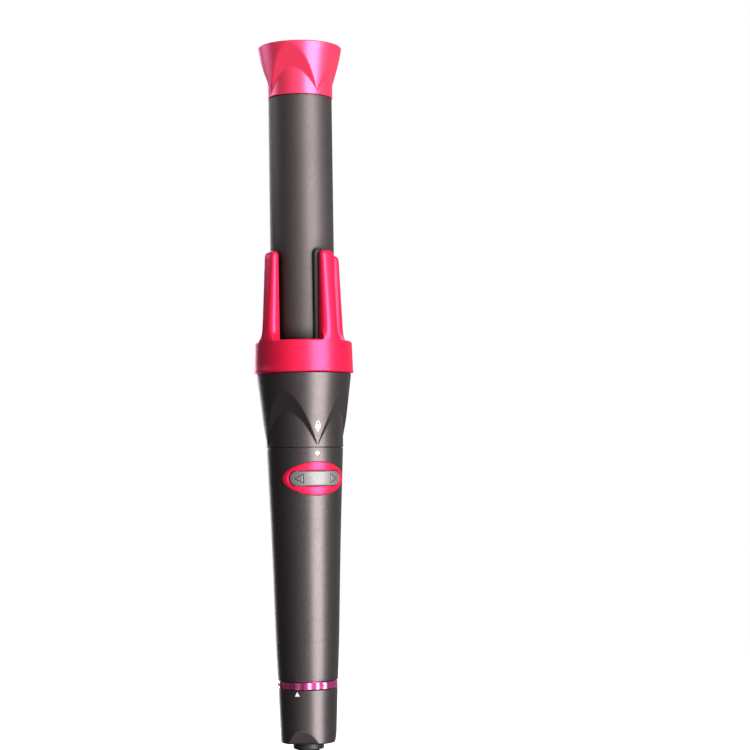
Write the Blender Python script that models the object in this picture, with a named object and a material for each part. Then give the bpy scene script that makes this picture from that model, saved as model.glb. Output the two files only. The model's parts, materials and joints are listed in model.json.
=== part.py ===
# Automatic hair curler: a tapered handle, a motor-driven crown with four prongs,
# a twist-lock ring and a removable heated barrel with a flared tip.
# Frame: the long axis is +Z, the cord end is down and the barrel is up.
# The control side faces -Y (the front).  The origin is on the axis at the cut end of the cord.
# Lengths are in millimetres and are scaled to metres when an object is made.
# Turned profiles are closed outlines of (radius, z) points.
import math
from collections import namedtuple

import bmesh
import bpy
from mathutils import Vector

MM = 0.001
TAU = 2.0 * math.pi
GAP = 0.3                      # running and assembly gap between neighbouring pieces
SEG = 48                       # facets round a full turn
SHARP_DEG = 35.0               # edges steeper than this are shaded sharp

# ---------------------------------------------------------------- driving dimensions
# A cone from r0 at z0 to r1 at z1, cut by four sloping planes.  The planes lie plane_dist
# from the axis at z0 and lean outwards by slope; turn is the angle of the first valley.
Flare = namedtuple("Flare", "z0 z1 r0 r1 plane_dist slope turn")

# handle: outside stations, z and radius
HANDLE_PROFILE = (
    (76.9, 15.6), (91.0, 16.3), (108.0, 16.8), (125.0, 17.5), (141.5, 17.8), (157.5, 18.4),
    (170.0, 19.0), (178.0, 19.2), (186.3, 19.65), (194.4, 19.9), (196.7, 20.0),
)
HANDLE_Z0, HANDLE_Z1 = HANDLE_PROFILE[0][0], HANDLE_PROFILE[-1][0]
HANDLE_WALL = 1.7
NECK_R, NECK_Z1 = 17.8, 202.5  # the sleeve's reduced neck, on which the lock ring turns
NECK_WALL = 1.4

LOCK = Flare(z0=HANDLE_Z1 + GAP, z1=235.2, r0=20.1, r1=24.8,
             plane_dist=14.06, slope=0.336, turn=0.0)
LOCK_BORE = NECK_R + GAP

CROWN_Z0, CROWN_Z1 = LOCK.z1 + GAP, 252.2
CROWN_R, CROWN_TOP_R = 26.0, 25.4
CROWN_BORE = 19.0
CROWN_FLOOR_R = 17.5
SKIRT_R0, SKIRT_R1, SKIRT_Z0 = 16.4, 17.6, 225.0

PRONGS = 4
PRONG_FIRST_DEG = 19.0         # from the control side, towards +X
PRONG_HALF_DEG = 12.7
PRONG_TOP_Z, PRONG_TOP_R = 298.8, 22.3

TUBE_Z0, TUBE_Z1 = 252.7, 380.3
BARREL_R = 16.7
BARREL_WALL = 1.0
TIP = Flare(z0=TUBE_Z1 + GAP, z1=407.5, r0=17.1, r1=22.2,
            plane_dist=11.485, slope=0.412, turn=12.0)

COLLAR_R, COLLAR_BORE = 17.2, 15.6
COLLAR_Z0, COLLAR_Z1 = 238.7, TUBE_Z0 - GAP
DARK_PRONG_R0, DARK_PRONG_R1 = 17.2, 18.6
DARK_PRONG_DEG, DARK_PRONG_HALF = 9.0, 9.0

MODULE = 0.8
RING_TEETH, LAY_UP_TEETH, LAY_LOW_TEETH, MOTOR_TEETH = 34, 9, 11, 14
LAY_OFFSET = MODULE * (RING_TEETH - LAY_UP_TEETH) / 2.0     # also MODULE * (11 + 14) / 2
RING_GEAR_Z0, RING_GEAR_Z1 = 214.0, 224.7
LAY_BORE_R = 1.85

PLUG_Z0, PLUG_Z1, PLUG_R = 207.6, 232.0, 3.5
SOCKET_BORE, SOCKET_TUBE_R = 3.9, 4.9

ROCKER_Z = 180.9
ROCKER_HALF_DEG, ROCKER_HALF_H = 44.0, 3.8
ROCKER_PIVOT_Y = -15.2
ROCKER_END_PLAY_DEG = 0.8
ROCKER_SIDE_GAP = 0.35
ROCKER_BORE_R = 0.95
BEZEL_HALF_DEG, BEZEL_HALF_H = 56.0, 8.7
BEZEL_POWER = 1.75             # superellipse: fuller than a rhomb, more pointed than an ellipse

DIAL_Z0, DIAL_Z1 = 45.0, 72.7
DIAL_R0, DIAL_R1 = 14.35, 15.4
SCALE_Z0, SCALE_Z1, SCALE_R = DIAL_Z1 + GAP, 76.6, DIAL_R1
HUB_Z0, HUB_Z1, HUB_R = 41.5, 48.5, 8.0
CORD_R = 3.1

# ---------------------------------------------------------------- finishes
Finish = namedtuple("Finish", "colour roughness metallic")

DARK = Finish((0.085, 0.072, 0.075), roughness=0.36, metallic=0.55)
PINK = Finish((0.80, 0.012, 0.075), roughness=0.30, metallic=0.25)
PINK_MIRROR = Finish((0.85, 0.05, 0.32), roughness=0.08, metallic=1.0)
BUTTON = Finish((0.28, 0.26, 0.27), roughness=0.40, metallic=0.4)
STEEL = Finish((0.55, 0.55, 0.56), roughness=0.28, metallic=1.0)
BRASS = Finish((0.72, 0.52, 0.22), roughness=0.30, metallic=1.0)
ALU = Finish((0.70, 0.71, 0.72), roughness=0.35, metallic=1.0)
GREY = Finish((0.42, 0.41, 0.41), roughness=0.45, metallic=0.0)
BLACK = Finish((0.02, 0.02, 0.02), roughness=0.55, metallic=0.0)
WHITE = Finish((0.75, 0.74, 0.72), roughness=0.45, metallic=0.0)
BOARD = Finish((0.02, 0.16, 0.07), roughness=0.45, metallic=0.0)
RUBBER = Finish((0.03, 0.03, 0.032), roughness=0.75, metallic=0.0)
NYLON = Finish((0.80, 0.78, 0.70), roughness=0.5, metallic=0.0)


def make_material(name, look):
    mat = bpy.data.materials.new(name)
    mat.use_nodes = True
    inputs = mat.node_tree.nodes["Principled BSDF"].inputs
    inputs["Base Color"].default_value = (*look.colour, 1.0)
    inputs["Roughness"].default_value = look.roughness
    inputs["Metallic"].default_value = look.metallic
    return mat


# ---------------------------------------------------------------- outlines and rows of points
def polar(radius, deg, z):
    """A point at an angle from the control side (-Y) towards +X."""
    angle = math.radians(deg)
    return Vector((radius * math.sin(angle), -radius * math.cos(angle), z))


def round_row(radius_at, z, inset=0.0):
    """One level of a round piece; radius_at gives the radius from (deg, z)."""
    degs = [360.0 * i / SEG for i in range(SEG)]
    return [polar(radius_at(deg, z) - inset, deg, z) for deg in degs]


def circle_row(radius, z):
    return round_row(lambda deg, z: radius, z)


def around(centre, half):
    return centre - half, centre + half


def tube_profile(r_in, r_out, z0, z1):
    """Profile of a plain tube, or of a rod when r_in is 0."""
    return (r_in, z0), (r_out, z0), (r_out, z1), (r_in, z1)


def arc_points(radius, degs):
    """(x, y) points at angles measured from +X towards +Y."""
    return [(radius * math.cos(math.radians(d)), radius * math.sin(math.radians(d))) for d in degs]


def arc_band(r_in, r_out, degs):
    return arc_points(r_out, degs) + arc_points(r_in, reversed(degs))


def plane_cut_radius(radius, deg, first_deg, count, distance):
    """Limits a radius by evenly spaced planes that lie at a distance from the axis."""
    for k in range(count):
        cosine = math.cos(math.radians(deg - first_deg - 360.0 / count * k))
        if cosine > 0.3:       # planes on the far side don't cut here
            radius = min(radius, distance / cosine)
    return radius


def flare_rows(flare, steps, edges, insets):
    """Rows of a flared piece; edges and insets are its (lower, upper) chamfer heights and depths."""
    height = flare.z1 - flare.z0

    def radius_at(deg, z):
        rise = z - flare.z0
        cone = flare.r0 + (flare.r1 - flare.r0) * rise / height
        distance = flare.plane_dist + flare.slope * rise
        # the round core is always left standing
        return max(flare.r0, plane_cut_radius(cone, deg, flare.turn + 45.0, 4, distance))

    start = flare.z0 + edges[0]
    span = height - edges[0] - edges[1]
    rows = [round_row(radius_at, flare.z0, insets[0])]
    rows += [round_row(radius_at, start + span * i / steps) for i in range(steps + 1)]
    rows.append(round_row(radius_at, flare.z1, insets[1]))
    return rows


def gear_outline(teeth, thin, add, ded, phase, steps, centre_y=0.0):
    """Involute tooth outline with a 20 degree pressure angle.  add and ded are in modules.
    A negative thin makes the space cut by an internal gear."""
    pitch_r = MODULE * teeth / 2.0
    pressure = math.radians(20.0)
    base = pitch_r * math.cos(pressure)
    tip, foot = pitch_r + add * MODULE, pitch_r - ded * MODULE
    half = math.pi / (2 * teeth) - thin / (2 * pitch_r)
    radii = [foot + (tip - foot) * i / steps for i in range(steps + 1)]

    def involute(angle):
        return math.tan(angle) - angle

    def half_width(radius):
        return half + involute(pressure) - involute(math.acos(base / max(radius, base)))

    def point(radius, angle):
        return radius * math.cos(angle), centre_y + radius * math.sin(angle)

    points = []
    for tooth in range(teeth):
        middle = phase + TAU * tooth / teeth
        points += [point(radius, middle - half_width(radius)) for radius in radii]
        points += [point(radius, middle + half_width(radius)) for radius in reversed(radii)]
    return points


def handle_r(z):
    """Outside radius of the handle."""
    if z <= HANDLE_Z0:
        return HANDLE_PROFILE[0][1]
    for (z0, r0), (z1, r1) in zip(HANDLE_PROFILE, HANDLE_PROFILE[1:]):
        if z <= z1:
            return r0 + (r1 - r0) * (z - z0) / (z1 - z0)
    return HANDLE_PROFILE[-1][1]


# ---------------------------------------------------------------- meshes
def turned_mesh(profile, seg=SEG, x=0.0, y=0.0, turn=0.0):
    """Spins a profile about the vertical line through (x, y); turn is in facets."""
    shape = bmesh.new()
    angles = [TAU * (i + turn) / seg for i in range(seg)]
    rings = []
    for r, z in profile:
        if r < 1e-6:
            rings.append([shape.verts.new((x, y, z))] * seg)
        else:
            rings.append([shape.verts.new((x + r * math.sin(angle), y - r * math.cos(angle), z))
                          for angle in angles])
    for low, high in zip(rings, rings[1:] + rings[:1]):
        for i in range(seg):
            j = (i + 1) % seg
            # dict keys keep the order and drop the repeats on the axis
            corners = list(dict.fromkeys((low[i], low[j], high[j], high[i])))
            if len(corners) > 2:
                shape.faces.new(corners)
    return shape


def join_loops(shape, first, second, flip=False):
    """Fills the band between two closed loops of equal length."""
    count = len(first)
    for i in range(count):
        j = (i + 1) % count
        corners = (first[i], first[j], second[j], second[i])
        shape.faces.new(corners[::-1] if flip else corners)


def lofted_mesh(rows, close=True):
    """Joins closed rows of equal point count; the last row meets the first, or both are capped."""
    shape = bmesh.new()
    loops = [[shape.verts.new(point) for point in row] for row in rows]
    for first, second in zip(loops, loops[1:]):
        join_loops(shape, first, second)
    if close:
        join_loops(shape, loops[-1], loops[0])
    else:
        shape.faces.new(loops[0])
        shape.faces.new(list(reversed(loops[-1])))
    return shape


def extruded_mesh(outline, z0, z1):
    return lofted_mesh([[(x, y, z) for x, y in outline] for z in (z0, z1)], close=False)


def box_mesh(x_range, y_range, z_range):
    (x0, x1), (y0, y1) = x_range, y_range
    return extruded_mesh(((x0, y0), (x1, y0), (x1, y1), (x0, y1)), *z_range)


def patch_mesh(loop, inner, rows, r_in, r_out, opening=False):
    """A curved plate round the handle.  loop is its outline as (degrees, z); inner holds each
    point's partner, on the centre line or on an opening.  r_in and r_out give radii from
    (z, f), where f runs from 0 at the partner to 1 at the outline."""
    shape = bmesh.new()
    grids = []
    for radius_at in (r_out, r_in):
        grid = []
        for row in range(rows + 1):
            f = row / rows
            ring = []
            for (deg0, z0), (deg1, z1) in zip(inner, loop):
                deg, z = deg0 + (deg1 - deg0) * f, z0 + (z1 - z0) * f
                ring.append(shape.verts.new(polar(radius_at(z, f), deg, z)))
            grid.append(ring)
        grids.append(grid)
    face_grid, back_grid = grids
    for grid in grids:
        for first, second in zip(grid, grid[1:]):
            join_loops(shape, first, second, flip=grid is back_grid)
    join_loops(shape, face_grid[rows], back_grid[rows])
    if opening:
        join_loops(shape, face_grid[0], back_grid[0])
    else:
        bmesh.ops.remove_doubles(shape, verts=shape.verts[:], dist=1e-4)
        bmesh.ops.dissolve_degenerate(shape, edges=shape.edges[:], dist=1e-5)
    return shape


# ---------------------------------------------------------------- objects
def add_object(name, shape, look=None):
    """Makes the named object, in metres, from a mesh in millimetres."""
    bmesh.ops.recalc_face_normals(shape, faces=shape.faces[:])
    bmesh.ops.scale(shape, vec=Vector((MM, MM, MM)), verts=shape.verts[:])
    mesh = bpy.data.meshes.new(name)
    shape.to_mesh(mesh)
    shape.free()
    mesh.shade_smooth()
    mesh.set_sharp_from_angle(angle=math.radians(SHARP_DEG))
    obj = bpy.data.objects.new(name, mesh)
    bpy.context.scene.collection.objects.link(obj)
    if look is not None:
        mesh.materials.append(make_material(name + "_finish", look))
    return obj


def turned(name, profile, look, seg=SEG, x=0.0, y=0.0):
    return add_object(name, turned_mesh(profile, seg, x, y), look)


def box(name, x_range, y_range, z_range, look):
    return add_object(name, box_mesh(x_range, y_range, z_range), look)


def boolean(piece, operation, name, shape):
    """Cuts with, or joins to, a helper shape that stays in the file as a wire guide."""
    guide = add_object(name, shape)
    guide.hide_render = True
    guide.display_type = "WIRE"
    mod = piece.modifiers.new(operation.lower() + "_" + name, "BOOLEAN")
    mod.operation = operation
    mod.solver = "EXACT"
    mod.object = guide
    return guide


def cut(piece, name, shape):
    return boolean(piece, "DIFFERENCE", name, shape)


def fuse(piece, name, shape):
    return boolean(piece, "UNION", name, shape)


def bore(piece, name, radius, z0, z1, x, y, seg=16):
    """Cuts a round hole, turned a little so that no facet lies on a facet of the piece."""
    cut(piece, name, turned_mesh(tube_profile(0, radius, z0, z1), seg, x, y, turn=0.31))


def screw(name, x, z0, z1, radius, head_r, head_h):
    """A pan-head machine screw along Z, head up."""
    under_head = z1 - head_h
    turned(name, ((0, z1), (head_r * 0.8, z1), (head_r, z1 - 0.35), (head_r, under_head),
                  (radius, under_head), (radius, z0 + 0.5), (radius * 0.5, z0), (0, z0)),
           STEEL, seg=12, x=x)


# ---------------------------------------------------------------- handle sleeve and rocker
def rocker_outline(half_deg, grow=0.0):
    """Stadium wrapped on the handle as (degrees, z), with each point's centre-line partner."""
    straight, cap = 7, 6       # points on a straight side, steps round an end
    deg_per_mm = math.degrees(1.0 / handle_r(ROCKER_Z))
    height = ROCKER_HALF_H + grow
    end = half_deg - ROCKER_HALF_H * deg_per_mm       # centre of the round end
    loop, mid = [], []
    for side in (1, -1):       # lower side and +X end, then upper side and -X end
        for i in range(straight):
            deg = side * (-end + 2 * end * i / (straight - 1))
            loop.append((deg, ROCKER_Z - side * height))
            mid.append((deg, ROCKER_Z))
        for i in range(1, cap):
            angle = -side * math.pi / 2 + math.pi * i / cap
            loop.append((side * end + height * deg_per_mm * math.cos(angle),
                         ROCKER_Z + height * math.sin(angle)))
            mid.append((side * end, ROCKER_Z))
    return loop, mid


def bezel_outline(stadium, grow=0.0):
    """Lens outline, pointed at its two ends, with one point for each stadium point."""
    grow_deg = grow * 2.9      # the same growth along the handle's girth
    points = []
    for deg, z in stadium:
        angle = math.atan2((z - ROCKER_Z) / BEZEL_HALF_H, deg / BEZEL_HALF_DEG)
        cosine, sine = math.cos(angle), math.sin(angle)
        reach = (abs(cosine) ** BEZEL_POWER + abs(sine) ** BEZEL_POWER) ** (-1 / BEZEL_POWER)
        points.append(((BEZEL_HALF_DEG + grow_deg) * reach * cosine,
                       ROCKER_Z + (BEZEL_HALF_H + grow) * reach * sine))
    return points


def build_handle(hole, hole_mid):
    """Handle sleeve, with the window for the bezel."""
    levels = (HANDLE_Z0 + 0.5, 91.0, 125.0, 158.3, 187.7, HANDLE_Z1 - 0.4)
    outer = [(handle_r(HANDLE_Z0) - 0.4, HANDLE_Z0)]
    outer += [(handle_r(z), z) for z in levels]
    outer += [(19.7, HANDLE_Z1), (NECK_R, HANDLE_Z1), (NECK_R, NECK_Z1)]
    neck_in = NECK_R - NECK_WALL
    inner = [(neck_in, NECK_Z1), (neck_in, 196.2)]
    inner += [(handle_r(z) - HANDLE_WALL, z) for z in (194.8, 140.0, HANDLE_Z0)]
    handle = turned("handle_sleeve", list(reversed(outer + inner)), DARK)
    # the cutter runs from well inside the wall to well outside it
    cut(handle, "bezel_window_cutter",
        patch_mesh(bezel_outline(hole, grow=0.3), hole_mid, 3,
                   lambda z, f: 14.0, lambda z, f: 24.0))


def build_bezel(hole):
    """A curved lens plate with a stadium opening, its face a little proud of the handle."""
    def back(z, f):
        return handle_r(z) - HANDLE_WALL - 0.1

    def face(z, f):
        return handle_r(z) + 0.10 + 0.5 * math.sin(math.pi * (0.15 + 0.7 * f))

    add_object("rocker_bezel",
               patch_mesh(bezel_outline(hole), hole, 3, back, face, opening=True), PINK)


def build_rocker():
    """Crowned stadium button that tilts about a pin parallel to the long axis."""
    # its ends stop a little short of the window, because they swing outwards as it tilts
    loop, mid = rocker_outline(ROCKER_HALF_DEG - ROCKER_END_PLAY_DEG)

    def face(z, f):
        return handle_r(z) + 0.9 - 0.55 * max(0.0, (f - 0.6) / 0.4) ** 2

    rocker = add_object("rocker_button", patch_mesh(loop, mid, 4, lambda z, f: 17.55, face), BUTTON)
    # a lug reaches in to the pin
    fuse(rocker, "rocker_lug_shape",
         box_mesh(around(0, 1.9), (-18.2, ROCKER_PIVOT_Y + 1.1), around(ROCKER_Z, 1.4)))
    bore(rocker, "rocker_pin_hole", ROCKER_BORE_R, *around(ROCKER_Z, 4.0), 0.0, ROCKER_PIVOT_Y)
    turned("rocker_pin", tube_profile(0, 0.65, *around(ROCKER_Z, 4.6)), STEEL,
           seg=12, y=ROCKER_PIVOT_Y)


def build_cradle():
    """Slotted block that holds the rocker pin."""
    cradle = box("rocker_cradle", around(0, 3.2), (-16.4, -13.3), around(ROCKER_Z, 5.4), GREY)
    cut(cradle, "cradle_slot", box_mesh(around(0, 2.6), (-17.0, -13.8), around(ROCKER_Z, 1.8)))
    bore(cradle, "cradle_bore", ROCKER_BORE_R, *around(ROCKER_Z, 7), 0.0, ROCKER_PIVOT_Y)


def build_switches():
    """Switch board, with a push switch under each end of the rocker."""
    box("switch_board", around(0, 9.6), (-13.0, -12.4), (171.0, 193.0), BOARD)
    for name, x in (("left_switch", -6.6), ("right_switch", 6.6)):
        body = box(name, around(x, 2.2), (-14.6, -13.3), around(ROCKER_Z, 2.6), BLACK)
        fuse(body, name + "_plunger",
             box_mesh(around(x, 1.0), (-15.1, -14.2), around(ROCKER_Z, 1.0)))


# ---------------------------------------------------------------- motor and gear train
MOTOR_Z0, MOTOR_Z1, MOTOR_R = 150.0, 190.0, 11.9
MOTOR_PINION_Z = (197.6, 204.0)
LAY_SHAFT_Z = (192.6, 227.2)
LAY_LOW_Z, LAY_UP_Z = (198.0, 203.8), (215.0, 224.4)
SHAFT_R = 1.5
TOOTH_THIN = 0.10              # backlash taken off each tooth


def build_motor():
    """Motor can, open at the top round its shaft, and the pinion on the shaft."""
    shoulder_r, boss_r, shaft_hole_r = 10.9, 4.2, 1.9
    turned("motor_can", (
        (0, MOTOR_Z0), (3.0, MOTOR_Z0), (3.0, MOTOR_Z0 + 1.2), (shoulder_r, MOTOR_Z0 + 1.2),
        (MOTOR_R, MOTOR_Z0 + 2.2), (MOTOR_R, MOTOR_Z1 - 1.0), (MOTOR_R - 1.0, MOTOR_Z1),
        (boss_r, MOTOR_Z1), (boss_r, MOTOR_Z1 + 1.8), (shaft_hole_r, MOTOR_Z1 + 1.8),
        (shaft_hole_r, MOTOR_Z1 - 6.0), (0, MOTOR_Z1 - 6.0)), STEEL, seg=32)
    pinion = turned("motor_pinion", tube_profile(0, SHAFT_R, 185.0, 197.9), STEEL, seg=20)
    teeth = gear_outline(MOTOR_TEETH, TOOTH_THIN, add=0.85, ded=1.1, phase=math.pi / 2, steps=2)
    fuse(pinion, "motor_pinion_teeth", extruded_mesh(teeth, *MOTOR_PINION_Z))


def build_motor_mount():
    cutter_z = (190.0, 196.0)
    mount = turned("motor_mount", tube_profile(4.6, 17.6, 192.2, 194.2), ALU, seg=36)
    bore(mount, "mount_lay_bore", LAY_BORE_R, *cutter_z, 0.0, LAY_OFFSET)
    # the switch board passes through a notch in the mount's front edge
    cut(mount, "mount_board_notch", box_mesh(around(0, 10.2), (-18.5, -11.9), cutter_z))
    for name, x in (("motor_screw_left", -7.6), ("motor_screw_right", 7.6)):
        bore(mount, name + "_bore", 1.25, *cutter_z, x, 0.0, seg=12)
        screw(name, x, 190.4, 196.0, radius=0.9, head_r=1.9, head_h=1.4)


def build_layshaft():
    """The lower gear meets the motor pinion, the upper gear meets the ring gear."""
    lay = turned("layshaft_gear", tube_profile(0, SHAFT_R, *LAY_SHAFT_Z), STEEL,
                 seg=20, y=LAY_OFFSET)
    # a tooth space faces the pinion's tooth
    low_phase = -math.pi / 2 + math.pi / LAY_LOW_TEETH
    low = gear_outline(LAY_LOW_TEETH, TOOTH_THIN, add=0.85, ded=1.1, phase=low_phase, steps=2,
                       centre_y=LAY_OFFSET)
    fuse(lay, "layshaft_low_teeth", extruded_mesh(low, *LAY_LOW_Z))
    high = gear_outline(LAY_UP_TEETH, TOOTH_THIN, add=0.80, ded=1.05, phase=math.pi / 2, steps=2,
                        centre_y=LAY_OFFSET)
    fuse(lay, "layshaft_up_teeth", extruded_mesh(high, *LAY_UP_Z))


def build_ring_gear():
    """Internal gear as wide as the crown's skirt."""
    space = gear_outline(RING_TEETH, -TOOTH_THIN, add=1.15, ded=0.62, phase=math.pi / 2, steps=1)
    angles = [math.atan2(y, x) for x, y in space]
    rim = [(SKIRT_R1 * math.cos(angle), SKIRT_R1 * math.sin(angle)) for angle in angles]
    levels = ((rim, RING_GEAR_Z0), (rim, RING_GEAR_Z1),
              (space, RING_GEAR_Z1), (space, RING_GEAR_Z0))
    rows = [[(x, y, z) for x, y in outline] for outline, z in levels]
    add_object("crown_ring_gear", lofted_mesh(rows), NYLON)


# ---------------------------------------------------------------- chassis and main board
def build_chassis():
    """Part tube along the rear of the handle, open towards the control side."""
    add_object("chassis_spine", extruded_mesh(arc_band(13.2, 14.6, range(28, 153, 8)), 110.0, 191.8),
               GREY)


def build_main_board():
    """Main board and the parts on it, in the lower half of the handle."""
    board_y = (4.0, 5.4)
    seat_y = board_y[0] - GAP  # rear face of the parts in front of the board
    box("main_board", around(0, 12.0), board_y, (80.0, 147.0), BOARD)

    cap_z0, cap_z1, cap_r, cap_end_r = 86.0, 106.0, 5.0, 4.6
    turned("filter_capacitor", (
        (0, cap_z0), (cap_end_r, cap_z0), (cap_r, cap_z0 + 0.6), (cap_r, cap_z1 - 0.6),
        (cap_end_r, cap_z1), (0, cap_z1)), BLACK, seg=20, x=-4.8, y=-2.0)

    relay = box("relay_block", (1.6, 10.6), (-5.6, seat_y), (110.0, 126.0), WHITE)
    bevel = relay.modifiers.new("edge", "BEVEL")
    bevel.width = 0.4 * MM
    bevel.segments = 1
    bevel.limit_method = "ANGLE"

    sink = box("heat_sink", (-10.4, -0.6), (-4.6, seat_y), (112.0, 134.0), ALU)
    slot_x, slot_pitch, slot_width = -8.6, 2.8, 1.4
    for i in range(3):
        x = slot_x + slot_pitch * i
        cut(sink, "heat_sink_gap_%d" % i, box_mesh((x, x + slot_width), (-6.0, 1.6), (110.0, 136.0)))

    box("control_chip", (2.4, 9.2), (2.2, seat_y), (130.0, 137.0), BLACK)


# ---------------------------------------------------------------- dial at the lower end
DIAL_LIP_Z = DIAL_Z1 + 2.6
DIAL_FLOOR_Z = DIAL_Z0 + 4.0


def dial_r(deg, z):
    """Slight taper, with three shallow planes cut into the lower rim."""
    rise = z - DIAL_Z0
    cone = DIAL_R0 + (DIAL_R1 - DIAL_R0) * rise / (DIAL_Z1 - DIAL_Z0)
    return plane_cut_radius(cone, deg, -31.5, 3, 11.75 + 0.41 * rise)


def build_dial():
    rows = [round_row(dial_r, DIAL_Z0, inset=0.7)]
    rows += [round_row(dial_r, z)
             for z in (DIAL_Z0 + 1.2, DIAL_Z0 + 4.4, DIAL_Z0 + 7.6, DIAL_Z1 - 0.3)]
    # top edge, lip and inside: radius, z
    rows += [circle_row(r, z) for r, z in (
        (DIAL_R1 - 0.3, DIAL_Z1), (11.9, DIAL_Z1), (11.9, DIAL_LIP_Z), (10.6, DIAL_LIP_Z),
        (10.6, DIAL_FLOOR_Z), (HUB_R + GAP, DIAL_FLOOR_Z), (HUB_R + GAP, DIAL_Z0))]
    add_object("dial_cap", lofted_mesh(rows), DARK)
    # a disc inside the dial with a hollow stub up into the potentiometer
    turned("dial_spindle", ((1.0, 62.0), (10.3, 62.0), (10.3, 64.0), (2.0, 64.0),
                            (2.0, 81.0), (1.0, 81.0)), NYLON, seg=24)


def build_scale():
    """Retainer ring, potentiometer inside it, and the scale ring between dial and handle."""
    turned("dial_retainer", tube_profile(9.5, 11.9, 76.2, 79.6), GREY, seg=36)
    turned("potentiometer", tube_profile(2.3, 8.9, 75.9, 79.4), STEEL, seg=32)
    bore_r, spigot_r, edge = 12.2, 13.5, 0.2
    turned("scale_ring", (
        (bore_r, SCALE_Z0), (SCALE_R - edge, SCALE_Z0), (SCALE_R, SCALE_Z0 + edge),
        (SCALE_R, SCALE_Z1 - edge), (SCALE_R - edge, SCALE_Z1), (spigot_r, SCALE_Z1),
        (spigot_r, SCALE_Z1 + 2.6), (bore_r, SCALE_Z1 + 2.6)), PINK_MIRROR)


# ---------------------------------------------------------------- cord, strain relief and hub
def build_cord():
    bore_r, flange_r = 3.6, 9.4
    flange_z0, flange_z1 = HUB_Z1 + 1.0, HUB_Z1 + 3.0
    turned("swivel_hub", (
        (bore_r, HUB_Z0), (HUB_R - 0.6, HUB_Z0), (HUB_R, HUB_Z0 + 0.6), (HUB_R, flange_z0),
        (flange_r, flange_z0), (flange_r, flange_z1), (bore_r, flange_z1)), BLACK, seg=28)

    # strain relief: five ribs that widen towards the hub, with a groove above each
    relief_bore, relief_z0, relief_z1 = CORD_R + 0.3, 12.0, HUB_Z0 - GAP
    rib_r, groove_r, rib_z, rib_pitch, rib_growth = 4.2, 3.7, 14.0, 5.0, 0.26
    relief = [(relief_bore, relief_z0), (4.0, relief_z0)]
    for i in range(5):
        z = rib_z + rib_pitch * i
        grow = rib_growth * i
        relief += [(rib_r + grow, z), (rib_r + grow, z + 3.2),
                   (groove_r + grow, z + 3.6), (groove_r + grow, z + 4.6)]
    relief += [(5.9, 39.4), (5.9, relief_z1), (relief_bore, relief_z1)]
    turned("strain_relief", list(reversed(relief)), RUBBER, seg=16)

    turned("power_cord", tube_profile(0, CORD_R, 0.0, 58.0), RUBBER, seg=20)


# ---------------------------------------------------------------- socket for the barrel plug
SOCKET_PROFILE = (
    (0, 204.6), (17.4, 204.6), (17.4, 206.4), (SOCKET_TUBE_R, 206.4), (SOCKET_TUBE_R, 225.4),
    (16.1, 225.4), (16.1, 227.6), (15.0, 228.4), (15.0, 238.2), (13.9, 238.2), (12.0, 228.6),
    (SOCKET_BORE, 228.6), (SOCKET_BORE, 207.2), (0, 207.2),
)
PIN_PROFILE = (
    (0, 224.6), (0.9, 224.6), (0.9, 229.6), (0.6, 229.8), (0.6, 230.6), (0.3, 230.9), (0, 230.9),
)
PIN_CIRCLE_R = 7.6


def build_socket():
    """Socket with its three contact pins, and the bearing for the crown round it."""
    socket = turned("barrel_socket", SOCKET_PROFILE, GREY, seg=36)
    bore(socket, "socket_lay_bore", LAY_BORE_R, 200, 230, 0.0, LAY_OFFSET)
    turned("crown_bearing", tube_profile(15.3, 16.1, 228.9, 236.4), NYLON, seg=36)
    for name, deg in (("live_pin", -60), ("neutral_pin", 60), ("sensor_pin", 0)):
        place = polar(PIN_CIRCLE_R, deg, 0)
        bore(socket, name + "_bore", 1.2, 224, 230, place.x, place.y, seg=12)
        turned(name, PIN_PROFILE, BRASS, seg=12, x=place.x, y=place.y)


# ---------------------------------------------------------------- crown and lock ring
def prong_row(z, centre, half, r_in, r_out, edge=0.0, inner_share=1.0):
    """Cross-section of a prong; edge drops the outer corners, inner_share narrows the inside."""
    steps = 4
    offsets = [-half + 2 * half * i / steps for i in range(steps + 1)]
    outer = [polar(r_out - (edge if i in (0, steps) else 0.0), centre + offset, z)
             for i, offset in enumerate(offsets)]
    return outer + [polar(r_in, centre - offset * inner_share, z) for offset in offsets]


def crown_prong_rows(centre):
    """Cross-sections of a prong from inside the crown up to its rounded top."""
    base_r = CROWN_TOP_R + 0.45
    root_z = 248.0             # the root stays inside the crown's wall
    rows = []
    # z, trim of the half angle, trim of the outer radius
    for z, deg_trim, r_trim in ((root_z, 0.0, 0.0), (254.0, 0.0, 0.0), (296.0, 0.0, 0.0),
                                (298.6, 0.8, 0.15), (PRONG_TOP_Z, 3.0, 0.7)):
        f = (z - CROWN_Z0) / (PRONG_TOP_Z - CROWN_Z0)
        r_out = CROWN_TOP_R - 0.1 if z == root_z else base_r - (base_r - PRONG_TOP_R) * f
        half = PRONG_HALF_DEG * (1.0 - 0.10 * f) - deg_trim
        rows.append(prong_row(z, centre, half, CROWN_BORE + 0.05, r_out - r_trim,
                              edge=0.55, inner_share=0.94))
    return rows


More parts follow.
